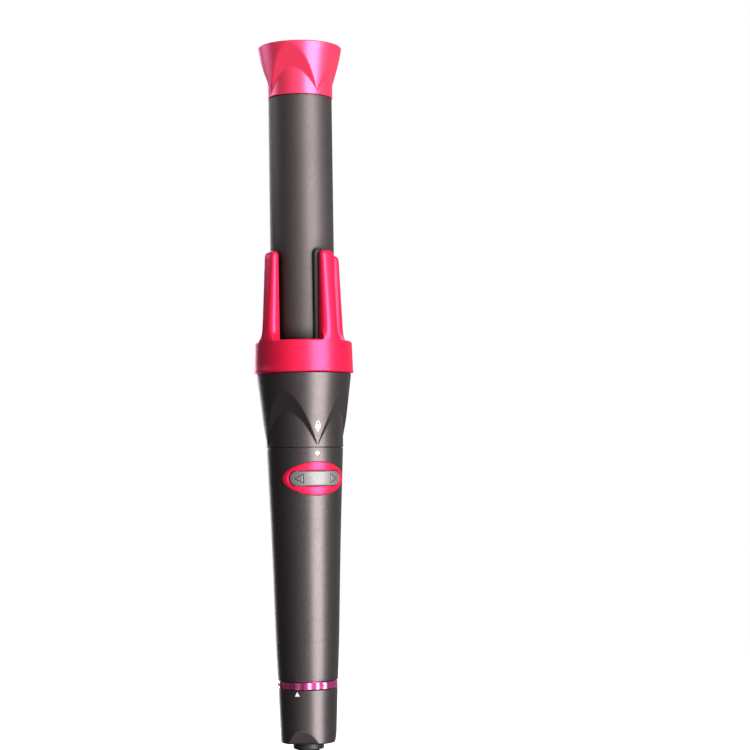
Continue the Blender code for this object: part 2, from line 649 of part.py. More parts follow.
def build_crown():
    """Crown shell with a skirt below, and its prongs."""
    floor_z0, floor_z1 = 238.4, 241.0
    profile = (
        (CROWN_R, CROWN_Z0), (CROWN_R, CROWN_Z0 + 1.6), (CROWN_TOP_R, CROWN_Z1 - 1.2),
        (CROWN_TOP_R - 0.9, CROWN_Z1), (CROWN_BORE, CROWN_Z1), (CROWN_BORE, floor_z1),
        (CROWN_FLOOR_R, floor_z1), (CROWN_FLOOR_R, floor_z0), (SKIRT_R0, floor_z0),
        (SKIRT_R0, SKIRT_Z0), (SKIRT_R1, SKIRT_Z0), (SKIRT_R1, CROWN_Z0))
    crown = turned("crown_shell", list(reversed(profile)), PINK)
    for k in range(PRONGS):
        rows = crown_prong_rows(PRONG_FIRST_DEG + 360.0 / PRONGS * k)
        fuse(crown, "prong_shape_%d" % k, lofted_mesh(rows, close=False))


def build_lock():
    """Lock ring, and a plate with an arc slot round the layshaft."""
    rows = flare_rows(LOCK, steps=7, edges=(0.4, 0.4), insets=(0.3, 0.3))
    rows += [circle_row(LOCK_BORE, z) for z in (LOCK.z1, LOCK.z0)]
    add_object("lock_ring", lofted_mesh(rows), DARK)

    plate = turned("lock_plate", tube_profile(5.3, 17.8, 208.2, 210.0), STEEL)
    slot = arc_band(*around(LAY_OFFSET, 2.3), range(-15, 106, 10))
    cut(plate, "lock_plate_slot", extruded_mesh(slot, 206.0, 212.0))


# ---------------------------------------------------------------- barrel
def build_barrel_shell():
    """Barrel tube, and the flared tip with a hollow spigot that fits inside it."""
    tube_in, edge_r = BARREL_R - BARREL_WALL, BARREL_R - 0.1
    turned("barrel_tube", (
        (tube_in, TUBE_Z0), (edge_r, TUBE_Z0), (BARREL_R, TUBE_Z0 + 0.3),
        (BARREL_R, TUBE_Z1 - 0.3), (edge_r, TUBE_Z1), (tube_in, TUBE_Z1)), DARK)

    spigot_r, spigot_bore, spigot_z0 = 15.3, 13.5, 373.0
    rows = [circle_row(r, z) for r, z in ((spigot_bore, 402.0), (spigot_bore, spigot_z0),
                                          (spigot_r, spigot_z0), (spigot_r, TIP.z0))]
    rows += flare_rows(TIP, steps=6, edges=(0.5, 0.8), insets=(0.3, 0.8))
    add_object("barrel_tip", lofted_mesh(rows, close=False), PINK)


def build_collar():
    """Collar at the foot of the barrel, with one dark prong and a slot in its lower edge."""
    edge = 0.3
    collar = turned("prong_collar", (
        (COLLAR_BORE, COLLAR_Z0), (COLLAR_R - edge, COLLAR_Z0), (COLLAR_R, COLLAR_Z0 + edge),
        (COLLAR_R, COLLAR_Z1 - edge), (COLLAR_R - edge, COLLAR_Z1), (COLLAR_BORE, COLLAR_Z1)),
        DARK)
    root_r = 16.4              # the prong's root reaches into the collar's wall
    # z, inner radius, outer radius, trim of the half angle
    stations = (
        (241.6, root_r, DARK_PRONG_R1, 0.0), (251.2, root_r, DARK_PRONG_R1, 0.0),
        (252.2, DARK_PRONG_R0, DARK_PRONG_R1, 0.0), (288.0, DARK_PRONG_R0, DARK_PRONG_R1, 0.0),
        (298.2, DARK_PRONG_R0, DARK_PRONG_R1, 0.6), (299.9, DARK_PRONG_R0, DARK_PRONG_R1 - 0.4, 2.4),
    )
    rows = [prong_row(z, DARK_PRONG_DEG, DARK_PRONG_HALF - trim, r_in, r_out)
            for z, r_in, r_out, trim in stations]
    fuse(collar, "dark_prong_shape", lofted_mesh(rows, close=False))
    key_slot = cut(collar, "collar_key_slot",
                   box_mesh(around(0, 2.0), (-20.0, -12.0), (236.0, 245.7)))
    key_slot.rotation_euler = (0, 0, math.radians(DARK_PRONG_DEG - 100.0))


def build_barrel_base():
    """Cup-shaped base with its screw, the plug below it and the contact disc."""
    base_z0, deck_z = PLUG_Z1 + GAP, 243.0
    turned("barrel_base", (
        (0, base_z0), (11.3, base_z0), (13.3, 237.8), (13.3, 238.4), (15.2, 238.7),
        (15.2, 262.0), (12.4, 262.0), (12.4, deck_z), (0, deck_z)), GREY, seg=36)
    screw_z0 = deck_z + GAP
    screw("base_screw", 0.0, screw_z0, screw_z0 + 5.0, radius=1.4, head_r=2.8, head_h=2.0)

    groove_r = PLUG_R - 0.6
    plug = turned("plug_shaft", (
        (0, PLUG_Z0), (PLUG_R - 0.5, PLUG_Z0), (PLUG_R, PLUG_Z0 + 0.5), (PLUG_R, PLUG_Z0 + 5.0),
        (groove_r, PLUG_Z0 + 5.5), (groove_r, PLUG_Z0 + 7.0), (PLUG_R, PLUG_Z0 + 7.5),
        (PLUG_R, PLUG_Z1), (0, PLUG_Z1)), STEEL, seg=24)
    cut(plug, "plug_slot", box_mesh(around(0, 0.6), around(0, 6.0), (PLUG_Z0 - 2.0, PLUG_Z0 + 12.0)))
    turned("contact_disc", tube_profile(4.0, 10.6, 231.2, PLUG_Z1), BRASS, seg=32)


def build_heater():
    """A ceramic bar between two aluminium half-round spreaders, and the thermistor above."""
    box("heater_bar", around(0, 6.0), around(0, 1.3), (268.0, 368.0), WHITE)
    flat_x, flat_y = 8.0, 1.7
    half_round = arc_points(15.1, range(12, 169, 12)) + [(-flat_x, flat_y), (flat_x, flat_y)]
    for name, side in (("front_heat_spreader", -1), ("rear_heat_spreader", 1)):
        outline = [(x, side * y) for x, y in half_round]
        add_object(name, extruded_mesh(outline, 266.0, 370.0), ALU)
    turned("thermistor", ((0, 371.0), (1.4, 371.0), (1.6, 371.4), (1.6, 374.0), (0, 374.6)),
           BLACK, seg=12)


# ---------------------------------------------------------------- joint axes
# each moving group hangs from an empty on its axis: name, place, pieces
JOINTS = (
    ("axis_crown", (0, 0, CROWN_Z0), ("crown_shell", "crown_ring_gear")),
    ("axis_layshaft", (0, LAY_OFFSET, RING_GEAR_Z0), ("layshaft_gear",)),
    ("axis_motor", (0, 0, 200.0), ("motor_pinion",)),
    ("axis_lock", (0, 0, LOCK.z0), ("lock_ring", "lock_plate")),
    ("axis_barrel", (0, 0, PLUG_Z0), (
        "barrel_tip", "barrel_tube", "prong_collar", "barrel_base", "plug_shaft", "contact_disc",
        "heater_bar", "front_heat_spreader", "rear_heat_spreader", "thermistor", "base_screw")),
    ("axis_rocker", (0, ROCKER_PIVOT_Y, ROCKER_Z), ("rocker_button",)),
    ("axis_dial", (0, 0, DIAL_Z0), ("dial_cap", "dial_spindle")),
    ("axis_cord", (0, 0, 0), ("swivel_hub", "strain_relief", "power_cord")),
)


def with_guides(piece):
    """The piece and every helper shape its modifiers use."""
    return [piece] + [mod.object for mod in piece.modifiers if mod.type == "BOOLEAN"]


def add_joint(name, place, pieces):
    """Parents the pieces to an empty; moving the empty moves the whole group."""
    axis = bpy.data.objects.new(name, None)
    axis.empty_display_size = 0.01
    axis.location = [value * MM for value in place]
    bpy.context.scene.collection.objects.link(axis)
    for piece in pieces:
        for obj in with_guides(bpy.data.objects[piece]):
            obj.parent = axis
            obj.location = obj.location - axis.location


# ---------------------------------------------------------------- build
for old in list(bpy.data.objects):
    bpy.data.objects.remove(old, do_unlink=True)

rocker_hole, rocker_hole_mid = rocker_outline(ROCKER_HALF_DEG, grow=ROCKER_SIDE_GAP)
build_handle(rocker_hole, rocker_hole_mid)
build_bezel(rocker_hole)
build_rocker()
build_cradle()
build_switches()
build_motor()
build_motor_mount()
build_chassis()
build_main_board()
build_scale()
build_dial()
build_cord()
build_socket()
build_layshaft()
build_crown()
build_ring_gear()
build_lock()
build_barrel_shell()
build_collar()
build_barrel_base()
build_heater()
for joint in JOINTS:
    add_joint(*joint)
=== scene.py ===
# Looks of the automatic hair curler.  It stands upright on the z axis: cord end and dial at the
# bottom, then the handle, lock ring, pronged crown and barrel.  The rocker key faces -y, at angle 0;
# angles turn towards +x.  Pieces are worked out in millimetres and degrees and built in metres;
# the stage, lights and camera are in metres.
import json
import math

import bmesh
import bpy
import numpy as np
from mathutils import Matrix, Vector


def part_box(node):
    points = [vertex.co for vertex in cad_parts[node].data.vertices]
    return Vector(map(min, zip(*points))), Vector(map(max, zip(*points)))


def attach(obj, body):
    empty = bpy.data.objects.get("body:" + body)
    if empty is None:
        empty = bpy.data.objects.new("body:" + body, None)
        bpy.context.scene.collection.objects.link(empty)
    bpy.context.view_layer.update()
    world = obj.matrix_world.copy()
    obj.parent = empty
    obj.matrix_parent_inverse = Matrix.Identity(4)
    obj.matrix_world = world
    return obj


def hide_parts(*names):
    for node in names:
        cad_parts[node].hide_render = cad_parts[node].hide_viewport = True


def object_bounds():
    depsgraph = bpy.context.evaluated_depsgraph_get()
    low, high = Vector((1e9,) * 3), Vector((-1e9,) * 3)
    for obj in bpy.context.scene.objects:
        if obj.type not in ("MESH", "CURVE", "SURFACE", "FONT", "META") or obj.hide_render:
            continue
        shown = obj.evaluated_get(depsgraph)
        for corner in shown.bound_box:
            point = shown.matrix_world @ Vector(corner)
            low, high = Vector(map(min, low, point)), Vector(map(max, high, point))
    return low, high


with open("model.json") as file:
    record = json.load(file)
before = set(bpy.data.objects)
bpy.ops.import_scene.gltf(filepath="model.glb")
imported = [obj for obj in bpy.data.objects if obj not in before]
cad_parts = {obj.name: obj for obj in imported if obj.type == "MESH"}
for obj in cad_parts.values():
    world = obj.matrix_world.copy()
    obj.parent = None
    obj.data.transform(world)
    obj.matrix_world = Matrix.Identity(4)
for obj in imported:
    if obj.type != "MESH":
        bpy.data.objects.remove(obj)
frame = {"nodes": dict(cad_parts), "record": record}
CAD_BOX = [list(map(float, corner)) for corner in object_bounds()]

MM = 0.001
SEGMENTS = 240            # points round a turned piece
FACET_SEGMENTS = 360      # points round a faceted piece
JOINT_GAP = 0.3           # height of the gap between neighbouring pieces


def span(node):
    """Lowest and highest z of a CAD node, in millimetres."""
    low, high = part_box(node)
    return low.z / MM, high.z / MM


def cad_radius(node):
    """Largest reach of a CAD node along x or y, in millimetres."""
    low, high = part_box(node)
    return max(abs(low.x), abs(high.x), abs(low.y), abs(high.y)) / MM


# ================================================================= shader nodes
def add_node(tree, kind, **attributes):
    node = tree.nodes.new(kind)
    for name, value in attributes.items():
        setattr(node, name, value)
    return node


def feed(tree, socket, value):
    """Links a socket to an output, or gives it a fixed value; colours are (r, g, b)."""
    if isinstance(value, bpy.types.NodeSocket):
        tree.links.new(value, socket)
    elif socket.type == "RGBA":
        socket.default_value = (*value, 1.0)
    else:
        socket.default_value = value


def calculate(tree, operation, first, second):
    node = add_node(tree, "ShaderNodeMath", operation=operation)
    feed(tree, node.inputs[0], first)
    feed(tree, node.inputs[1], second)
    return node.outputs[0]


def object_coordinates(tree):
    return add_node(tree, "ShaderNodeTexCoord").outputs["Object"]


def noise(tree, coord, scale, detail=3.0, rough=0.55, stretch=None):
    """Noise in object space; stretch scales the axes first, for brushed or drawn grain."""
    node = add_node(tree, "ShaderNodeTexNoise")
    node.inputs["Scale"].default_value = scale
    node.inputs["Detail"].default_value = detail
    node.inputs["Roughness"].default_value = rough
    if stretch:
        mapping = add_node(tree, "ShaderNodeMapping")
        mapping.inputs["Scale"].default_value = stretch
        tree.links.new(coord, mapping.inputs["Vector"])
        coord = mapping.outputs["Vector"]
    tree.links.new(coord, node.inputs["Vector"])
    return node.outputs["Fac"]


def ramp(tree, value, from_min, from_max, to_min, to_max):
    node = add_node(tree, "ShaderNodeMapRange")
    node.inputs["From Min"].default_value = from_min
    node.inputs["From Max"].default_value = from_max
    node.inputs["To Min"].default_value = to_min
    node.inputs["To Max"].default_value = to_max
    tree.links.new(value, node.inputs["Value"])
    return node.outputs["Result"]


def vary(tree, value, middle, amount):
    """Spreads the middle range of a noise evenly about a value."""
    return ramp(tree, value, 0.3, 0.7, middle - amount, middle + amount)


def mix_colour(tree, blend, factor, first, second):
    node = add_node(tree, "ShaderNodeMix", data_type="RGBA", blend_type=blend)

    def socket(name, kind):
        # the node has sockets of the same name for each data type
        return [s for s in node.inputs if s.name == name and s.type == kind][0]

    feed(tree, socket("Factor", "VALUE"), factor)
    feed(tree, socket("A", "RGBA"), first)
    feed(tree, socket("B", "RGBA"), second)
    return [s for s in node.outputs if s.type == "RGBA"][0]


def mix_shader(tree, factor, first, second):
    node = add_node(tree, "ShaderNodeMixShader")
    tree.links.new(factor, node.inputs[0])
    tree.links.new(first, node.inputs[1])
    tree.links.new(second, node.inputs[2])
    return node.outputs[0]


# ================================================================= materials
def worn_edges(tree, coord, base, amount, colour):
    """Lightens convex edges, in patches."""
    geometry = add_node(tree, "ShaderNodeNewGeometry")
    edge = ramp(tree, geometry.outputs["Pointiness"], 0.52, 0.60, 0.0, amount)
    patches = noise(tree, coord, scale=160.0, detail=4.0, rough=0.6)
    rub = ramp(tree, patches, 0.40, 0.62, 0.0, 1.0)
    return mix_colour(tree, "MIX", calculate(tree, "MULTIPLY", edge, rub), base, colour)


def shaded_corners(tree, base, power):
    """Darkens the colour where other surfaces are near."""
    near = add_node(tree, "ShaderNodeAmbientOcclusion")
    near.samples = 8
    near.inputs["Distance"].default_value = 0.009
    deep = calculate(tree, "POWER", near.outputs["AO"], power)
    dark = add_node(tree, "ShaderNodeVectorMath", operation="SCALE")
    tree.links.new(base, dark.inputs[0])
    tree.links.new(deep, dark.inputs["Scale"])
    return dark.outputs[0]


def surface(name, colour, rough, bump, metal=0.0, shade=0.0, grain=900.0, grain_amount=0.06,
            bump_scale=2500.0, mottle=0.08, wear=0.12, wear_colour=None, coat=0.0, tint=None,
            specular=0.5, stretch=None, anisotropy=0.0, rough_spread=0.06, sheen=0.0, ior=1.5):
    """A finish with fine grain, slow colour variation (mottle), worn edges, and roughness and
    bump from noise.  grain and bump_scale are noise scales; stretch draws the grain out."""
    material = bpy.data.materials.new(name)
    material.use_nodes = True
    tree = material.node_tree
    shader = tree.nodes["Principled BSDF"]
    coord = object_coordinates(tree)
    fine = noise(tree, coord, grain, detail=2.0, rough=0.6, stretch=stretch)
    slow = noise(tree, coord, scale=38.0, detail=3.0, rough=0.5)
    fine_tone = vary(tree, fine, 1.0, grain_amount)
    slow_tone = vary(tree, slow, 1.0, mottle)
    tone = calculate(tree, "MULTIPLY", fine_tone, slow_tone)
    base = mix_colour(tree, "MULTIPLY", 1.0, colour, tone)
    if wear:
        light = wear_colour or tuple(min(1.0, c * 1.6 + 0.05) for c in colour)
        base = worn_edges(tree, coord, base, wear, light)
    if shade:
        base = shaded_corners(tree, base, shade)
    tree.links.new(base, shader.inputs["Base Color"])
    rough_noise = noise(tree, coord, grain * 0.5, detail=3.0, rough=0.6, stretch=stretch)
    rough_value = ramp(tree, rough_noise, 0.3, 0.7,
                       max(0.02, rough - rough_spread), min(1.0, rough + rough_spread))
    tree.links.new(rough_value, shader.inputs["Roughness"])
    shader.inputs["Metallic"].default_value = metal
    shader.inputs["Specular IOR Level"].default_value = specular
    shader.inputs["IOR"].default_value = ior
    if tint:
        shader.inputs["Specular Tint"].default_value = (*tint, 1.0)
    shader.inputs["Coat Weight"].default_value = coat
    shader.inputs["Coat Roughness"].default_value = 0.1
    shader.inputs["Anisotropic"].default_value = anisotropy
    shader.inputs["Sheen Weight"].default_value = sheen
    bump_node = add_node(tree, "ShaderNodeBump")
    bump_node.inputs["Strength"].default_value = bump
    bump_node.inputs["Distance"].default_value = 0.0002
    height = noise(tree, coord, bump_scale, detail=2.0, rough=0.6, stretch=stretch)
    tree.links.new(height, bump_node.inputs["Height"])
    tree.links.new(bump_node.outputs["Normal"], shader.inputs["Normal"])
    return material


GUNMETAL = (0.105, 0.088, 0.090)
FINISHES = {
    "satin_shell": dict(
        colour=GUNMETAL, rough=0.37, metal=0.82, grain=1500, grain_amount=0.10,
        bump=0.05, bump_scale=2600, mottle=0.04, wear=0.25),
    "barrel_coat": dict(
        colour=GUNMETAL, rough=0.52, metal=0.78, shade=2.2, grain=1700, grain_amount=0.09,
        bump=0.04, bump_scale=3000, mottle=0.04, wear=0.2),
    "pink_shell": dict(
        colour=(0.86, 0.012, 0.055), rough=0.34, metal=0.25, grain=1600, grain_amount=0.03,
        bump=0.02, bump_scale=2600, mottle=0.03, wear=0.2, wear_colour=(0.95, 0.12, 0.22),
        tint=(0.80, 0.42, 1.0), specular=0.50, ior=1.8, rough_spread=0.03),
    # pink_tip is the crown's pink painted lighter: painted light for the brighter light that falls
    # on the tip
    "pink_tip": dict(
        colour=(0.98, 0.046, 0.110), rough=0.34, metal=0.25, grain=1600, grain_amount=0.03,
        bump=0.02, bump_scale=2600, mottle=0.03, wear=0.2, wear_colour=(0.98, 0.20, 0.32),
        tint=(0.80, 0.45, 1.0), specular=0.70, ior=2.0, rough_spread=0.03),
    "pink_chrome": dict(
        colour=(1.0, 0.16, 0.46), rough=0.17, metal=0.90, grain=260, grain_amount=0.10,
        bump=0.10, bump_scale=420, mottle=0.16, wear=0.1, rough_spread=0.05),
    "button": dict(
        colour=(0.235, 0.218, 0.218), rough=0.50, metal=0.55, grain=1600, grain_amount=0.10,
        bump=0.06, bump_scale=2600, mottle=0.03, wear=0.2),
    "steel": dict(
        colour=(0.56, 0.56, 0.57), rough=0.28, metal=1.0, grain=700, bump=0.08,
        mottle=0.05, wear=0.1, stretch=(1.0, 1.0, 14.0), anisotropy=0.4),
    "brass": dict(
        colour=(0.78, 0.56, 0.24), rough=0.24, metal=1.0, grain_amount=0.05, bump=0.04,
        mottle=0.10, wear=0.1),
    "aluminium": dict(
        colour=(0.70, 0.71, 0.72), rough=0.38, metal=1.0, grain_amount=0.05, bump=0.08,
        mottle=0.04, wear=0.1, stretch=(1.0, 1.0, 9.0), anisotropy=0.3),
    "grey_plastic": dict(
        colour=(0.25, 0.245, 0.245), rough=0.46, metal=0.1, grain=1200,
        bump=0.12, bump_scale=1800, mottle=0.05, wear=0.15),
    "black_plastic": dict(
        colour=(0.018, 0.018, 0.019), rough=0.42, grain=1200, grain_amount=0.10,
        bump=0.12, bump_scale=1800, wear=0.15),
    "white_plastic": dict(
        colour=(0.74, 0.73, 0.70), rough=0.45, grain=1200, grain_amount=0.03, bump=0.08,
        mottle=0.05, wear=0.1),
    "circuit_board": dict(
        colour=(0.015, 0.13, 0.055), rough=0.35, grain=420, grain_amount=0.25,
        bump=0.10, bump_scale=600, mottle=0.10, wear=0.0, coat=0.3),
    "cord_rubber": dict(
        colour=(0.020, 0.019, 0.020), rough=0.55, grain=1400, grain_amount=0.12,
        bump=0.25, bump_scale=1500, mottle=0.15, wear=0.2, sheen=0.1),
    "nylon": dict(
        colour=(0.74, 0.71, 0.62), rough=0.48, grain=1000, grain_amount=0.04, bump=0.08,
        mottle=0.06, wear=0.1),
    "prong_dark": dict(
        colour=(0.010, 0.009, 0.010), rough=0.48, metal=0.20, specular=0.3, grain=1500,
        grain_amount=0.10, bump=0.05, bump_scale=2600, mottle=0.05, wear=0.25),
    "mark_white": dict(
        colour=(0.86, 0.85, 0.85), rough=0.45, grain=1800, grain_amount=0.03, bump=0.05,
        mottle=0.03, wear=0.0),
    "mark_dark": dict(
        colour=(0.085, 0.006, 0.030), rough=0.40, grain=1800, grain_amount=0.05, bump=0.05,
        mottle=0.05, wear=0.0),
    # dark_gap is painted shade, laid in the bottoms of the rocker key's engraved arrows
    "dark_gap": dict(
        colour=(0.012, 0.011, 0.012), rough=0.6, grain=1200, grain_amount=0.1, bump=0.1,
        mottle=0.1, wear=0.0),
}
MATERIALS = {name: surface(name, **finish) for name, finish in FINISHES.items()}

NODE_SLOT = {part["node"]: part["material_slot"] for part in frame["record"]["subparts"]}
for node, obj in frame["nodes"].items():
    obj.data.materials.clear()
    obj.data.materials.append(MATERIALS[NODE_SLOT[node]])


# ================================================================= small sums
def unit(value):
    """Limits a value to 0..1."""
    return max(0.0, min(1.0, value))


def smooth_step(value):
    value = unit(value)
    return value * value * (3 - 2 * value)


def soft_min(a, b, blend):
    """The lesser of two values, with the change from one to the other rounded off."""
    near = max(blend - abs(a - b), 0.0) / blend
    return min(a, b) - near * near * blend * 0.25


def soft_max(a, b, blend):
    return -soft_min(-a, -b, blend)


def quarter_round(edge, angles):
    """(inset, rise) pairs round an edge of the given radius."""
    turns = [math.radians(angle) for angle in angles]
    return [(edge * (1 - math.cos(t)), edge * math.sin(t)) for t in turns]


def round_drop(edge, past):
    """Inset of a quarter-round edge at a distance past its start."""
    past = min(max(past, 0.0), edge)
    return edge - math.sqrt(edge ** 2 - past ** 2)


# ================================================================= mesh helpers
def place(radius, angle, z):
    """Point at a radius and height, in metres; angle 0 faces -y, 90 faces +x."""
    turn = math.radians(angle)
    return (radius * math.sin(turn) * MM, -radius * math.cos(turn) * MM, z * MM)


def circle(radius, z, segments=SEGMENTS):
    return [place(radius, 360.0 * i / segments, z) for i in range(segments)]


def shaped_ring(radius_of, z, segments, inset=0.0, rise=0.0):
    """Ring whose radius is read off radius_of(angle, z), then moved in and up."""
    angles = [360.0 * i / segments for i in range(segments)]
    return [place(radius_of(angle, z) - inset, angle, z + rise) for angle in angles]


def add_ring(mesh, points):
    return [mesh.verts.new(point) for point in points]


def bridge(mesh, first, second):
    """Joins two closed rings of vertices with quads."""
    count = len(first)
    for i in range(count):
        j = (i + 1) % count
        mesh.faces.new((first[i], first[j], second[j], second[i]))


def finish_piece(name, mesh, material, body, replaces=(), sharp=40.0):
    bmesh.ops.recalc_face_normals(mesh, faces=mesh.faces[:])
    data = bpy.data.meshes.new(name)
    mesh.to_mesh(data)
    mesh.free()
    data.shade_smooth()
    data.set_sharp_from_angle(angle=math.radians(sharp))
    data.materials.append(MATERIALS[material])
    piece = bpy.data.objects.new(name, data)
    bpy.context.scene.collection.objects.link(piece)
    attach(piece, body)
    if replaces:
        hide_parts(*replaces)
    return piece


def loft(rows, ends="loop", mesh=None):
    """Rows are closed rings of points, of equal length.  ends: "loop" joins the last row to
    the first, "cap" fills both ends."""
    mesh = mesh or bmesh.new()
    rings = [add_ring(mesh, row) for row in rows]
    for first, second in zip(rings, rings[1:]):
        bridge(mesh, first, second)
    if ends == "loop":
        bridge(mesh, rings[-1], rings[0])
    if ends == "cap":
        count = len(rings[0])
        for ring in (rings[0], rings[-1]):
            centre = mesh.verts.new(sum((v.co for v in ring), Vector()) / count)
            for i in range(count):
                mesh.faces.new((ring[i], ring[(i + 1) % count], centre))
    return mesh


def rounded(profile, radii, steps=5):
    """Rounds the corners of an (r, z) outline: radii is one value or one per corner.
    Corners on the axis and nearly straight ones stay."""
    out = []
    count = len(profile)
    for i in range(count):
        radius = radii[i] if isinstance(radii, (list, tuple)) else radii
        corner = Vector(profile[i])
        if corner.x < 1e-6 or radius <= 0:
            out.append((corner.x, corner.y))
            continue
        back = Vector(profile[i - 1]) - corner
        ahead = Vector(profile[(i + 1) % count]) - corner
        back_length, ahead_length = back.length, ahead.length
        if back_length < 1e-9 or ahead_length < 1e-9:
            continue
        back, ahead = back / back_length, ahead / ahead_length
        angle = back.angle(ahead)
        if angle > math.radians(174):
            out.append((corner.x, corner.y))
            continue
        cut = min(radius / math.tan(angle / 2), 0.45 * back_length, 0.45 * ahead_length)
        start, end = corner + back * cut, corner + ahead * cut
        for k in range(steps + 1):
            t = k / steps
            point = start * (1 - t) ** 2 + corner * 2 * t * (1 - t) + end * t * t
            out.append((point.x, point.y))
    return out


def dense(profile, step=4.0):
    """Adds points along long straight runs of an outline, except where it meets the axis."""
    out = []
    for (r0, z0), (r1, z1) in zip(profile, profile[1:] + profile[:1]):
        count = max(1, int(math.hypot(r1 - r0, z1 - z0) / step))
        if r0 < 1e-6 or r1 < 1e-6:
            count = 1
        out += [(r0 + (r1 - r0) * k / count, z0 + (z1 - z0) * k / count) for k in range(count)]
    return out


def turned(name, profile, material, body, replaces=(), segments=SEGMENTS, step=4.0):
    """A turned piece; an outline that touches the axis becomes a solid end."""
    mesh = bmesh.new()
    rings = []
    for radius, z in dense(profile, step):
        if radius < 1e-6:
            rings.append([mesh.verts.new((0, 0, z * MM))] * segments)
        else:
            rings.append(add_ring(mesh, circle(radius, z, segments)))
    for first, second in zip(rings, rings[1:] + rings[:1]):
        for i in range(segments):
            j = (i + 1) % segments
            corners = []
            for vert in (first[i], first[j], second[j], second[i]):
                if vert not in corners:
                    corners.append(vert)
            if len(corners) > 2:
                mesh.faces.new(corners)
    return finish_piece(name, mesh, material, body, replaces)


# ================================================================= marks
def decal(name, strips, radius_of, body, angle, z_middle, proud=0.035, depth=0.12,
          material="mark_white"):
    """Thin printed or inlaid marks: each strip is a list of (left, right) point pairs
    (x to the right, z up), laid on the surface radius_of(angle, z) round (angle, z_middle)."""
    mesh = bmesh.new()
    across = 6
    for strip in strips:
        rows = []
        for left, right in strip:
            points = [(left[0] + (right[0] - left[0]) * k / across,
                       left[1] + (right[1] - left[1]) * k / across) for k in range(across + 1)]
            row = []
            for side, offset in ((points, proud), (points[::-1], -depth)):
                for x, z in side:
                    height = z_middle + z
                    turn = angle + math.degrees(x / radius_of(angle, height))
                    row.append(place(radius_of(turn, height) + offset, turn, height))
            rows.append(row)
        loft(rows, "cap", mesh)
    return finish_piece(name, mesh, material, body, sharp=50.0)


def bar(x0, x1, z0, z1, steps=4):
    heights = [z0 + (z1 - z0) * k / steps for k in range(steps + 1)]
    return [((x0, z), (x1, z)) for z in heights]


def wedge(half_low, half_high, z0, z1, steps):
    """Upright strip whose half width runs evenly from foot to top."""
    out = []
    for k in range(steps + 1):
        half = half_low + (half_high - half_low) * k / steps
        z = z0 + (z1 - z0) * k / steps
        out.append(((-half, z), (half, z)))
    return out


def disc(radius, steps=16):
    out = []
    for k in range(steps + 1):
        turn = -math.pi / 2 + math.pi * k / steps
        half = max(radius * math.cos(turn), 0.004)
        z = radius * math.sin(turn)
        out.append(((-half, z), (half, z)))
    return out


def arch(inner, outer, z_foot, steps=18):
    """Half ring, open downwards."""
    out = []
    for k in range(steps + 1):
        turn = math.radians(180 * k / steps)
        c, s = math.cos(turn), math.sin(turn)
        out.append(((inner * c, z_foot + inner * s), (outer * c, z_foot + outer * s)))
    return out


# ================================================================= handle outline
SLEEVE_Z0, NECK_Z1 = span("handle_sleeve")
LOCK_Z0, LOCK_Z1 = span("lock_ring")
SLEEVE_Z1 = LOCK_Z0 - JOINT_GAP      # shoulder under the lock ring; a neck goes on into it
# (z, radius) of the handle, from its lower end to the lock ring
HANDLE = ((76.9, 15.6), (91.0, 16.3), (108.0, 16.8), (125.0, 17.5), (141.5, 17.8), (157.5, 18.4),
          (170.0, 19.0), (178.0, 19.2), (186.3, 19.65), (194.4, 19.9), (196.7, 20.0))
HANDLE_CURVE = np.polynomial.Polynomial.fit(*np.array(HANDLE).T, 4)


def handle_radius(z):
    """Smooth handle radius through the stations."""
    return float(HANDLE_CURVE(min(max(z, HANDLE[0][0]), HANDLE[-1][0])))


# ----- outlines of the rocker key (a stadium) and its bezel (a lens), round the key's centre
ROCKER_Z0, ROCKER_Z1 = span("rocker_button")
ROCKER_Z = (ROCKER_Z0 + ROCKER_Z1) / 2
ROCKER_HALF_H = (ROCKER_Z1 - ROCKER_Z0) / 2
BEZEL_Z0, BEZEL_Z1 = span("rocker_bezel")
BEZEL_HALF_H = (BEZEL_Z1 - BEZEL_Z0) / 2
PER_DEG = math.radians(1.0) * handle_radius(ROCKER_Z)   # width of one degree at the key
ROCKER_HALF_DEG = 44.0
ROCKER_HALF_W = ROCKER_HALF_DEG * PER_DEG
BEZEL_HALF_W = 56.0 * PER_DEG
LENS_EXPONENT = 1.78                 # 2 would be an ellipse
WINDOW_GAP = 0.16                    # the sleeve's window is this much larger than the lens


def stadium_at(direction, grow=0.0):
    """Point of the stadium outline in a direction, as (degrees, z) from the centre."""
    half_h = ROCKER_HALF_H + grow
    c, s = math.cos(direction), math.sin(direction)
    end = ROCKER_HALF_W + grow - half_h
    if abs(s) > 1e-9:
        reach = half_h / abs(s)
        if abs(c * reach) <= end:    # the ray meets a straight side
            return (c * reach / PER_DEG, s * reach)
    centre = end if c >= 0 else -end
    along = c * centre
    reach = along + math.sqrt(max(along * along - centre * centre + half_h * half_h, 0.0))
    return (c * reach / PER_DEG, s * reach)


def lens_at(direction, grow=0.0):
    """Point of the lens outline in a direction, as (degrees, z) from the centre."""
    c, s = math.cos(direction), math.sin(direction)
    x, z = c / (BEZEL_HALF_W + grow), s / (BEZEL_HALF_H + grow)
    reach = (abs(x) ** LENS_EXPONENT + abs(z) ** LENS_EXPONENT) ** (-1 / LENS_EXPONENT)
    return (c * reach / PER_DEG, s * reach)


def lens_direction(turn):
    """Stretches a direction by the lens's proportions, to spread points evenly along it."""
    return math.atan2(math.sin(turn) * BEZEL_HALF_H, math.cos(turn) * BEZEL_HALF_W)


# ================================================================= handle sleeve
COLUMNS = 144
COLUMN_DEG = 360.0 / COLUMNS
WINDOW_COLUMNS = 27                  # the window patch reaches this many columns each side
SLEEVE_WALL = 1.6
FOOT_EDGE, SHOULDER_EDGE = 0.5, 0.35
PATCH_Z0, PATCH_Z1 = ROCKER_Z - 12.2, ROCKER_Z + 11.6
ROWS_BELOW, ROWS_BESIDE, ROWS_ABOVE = 46, 16, 5         # rows of faces round the window patch
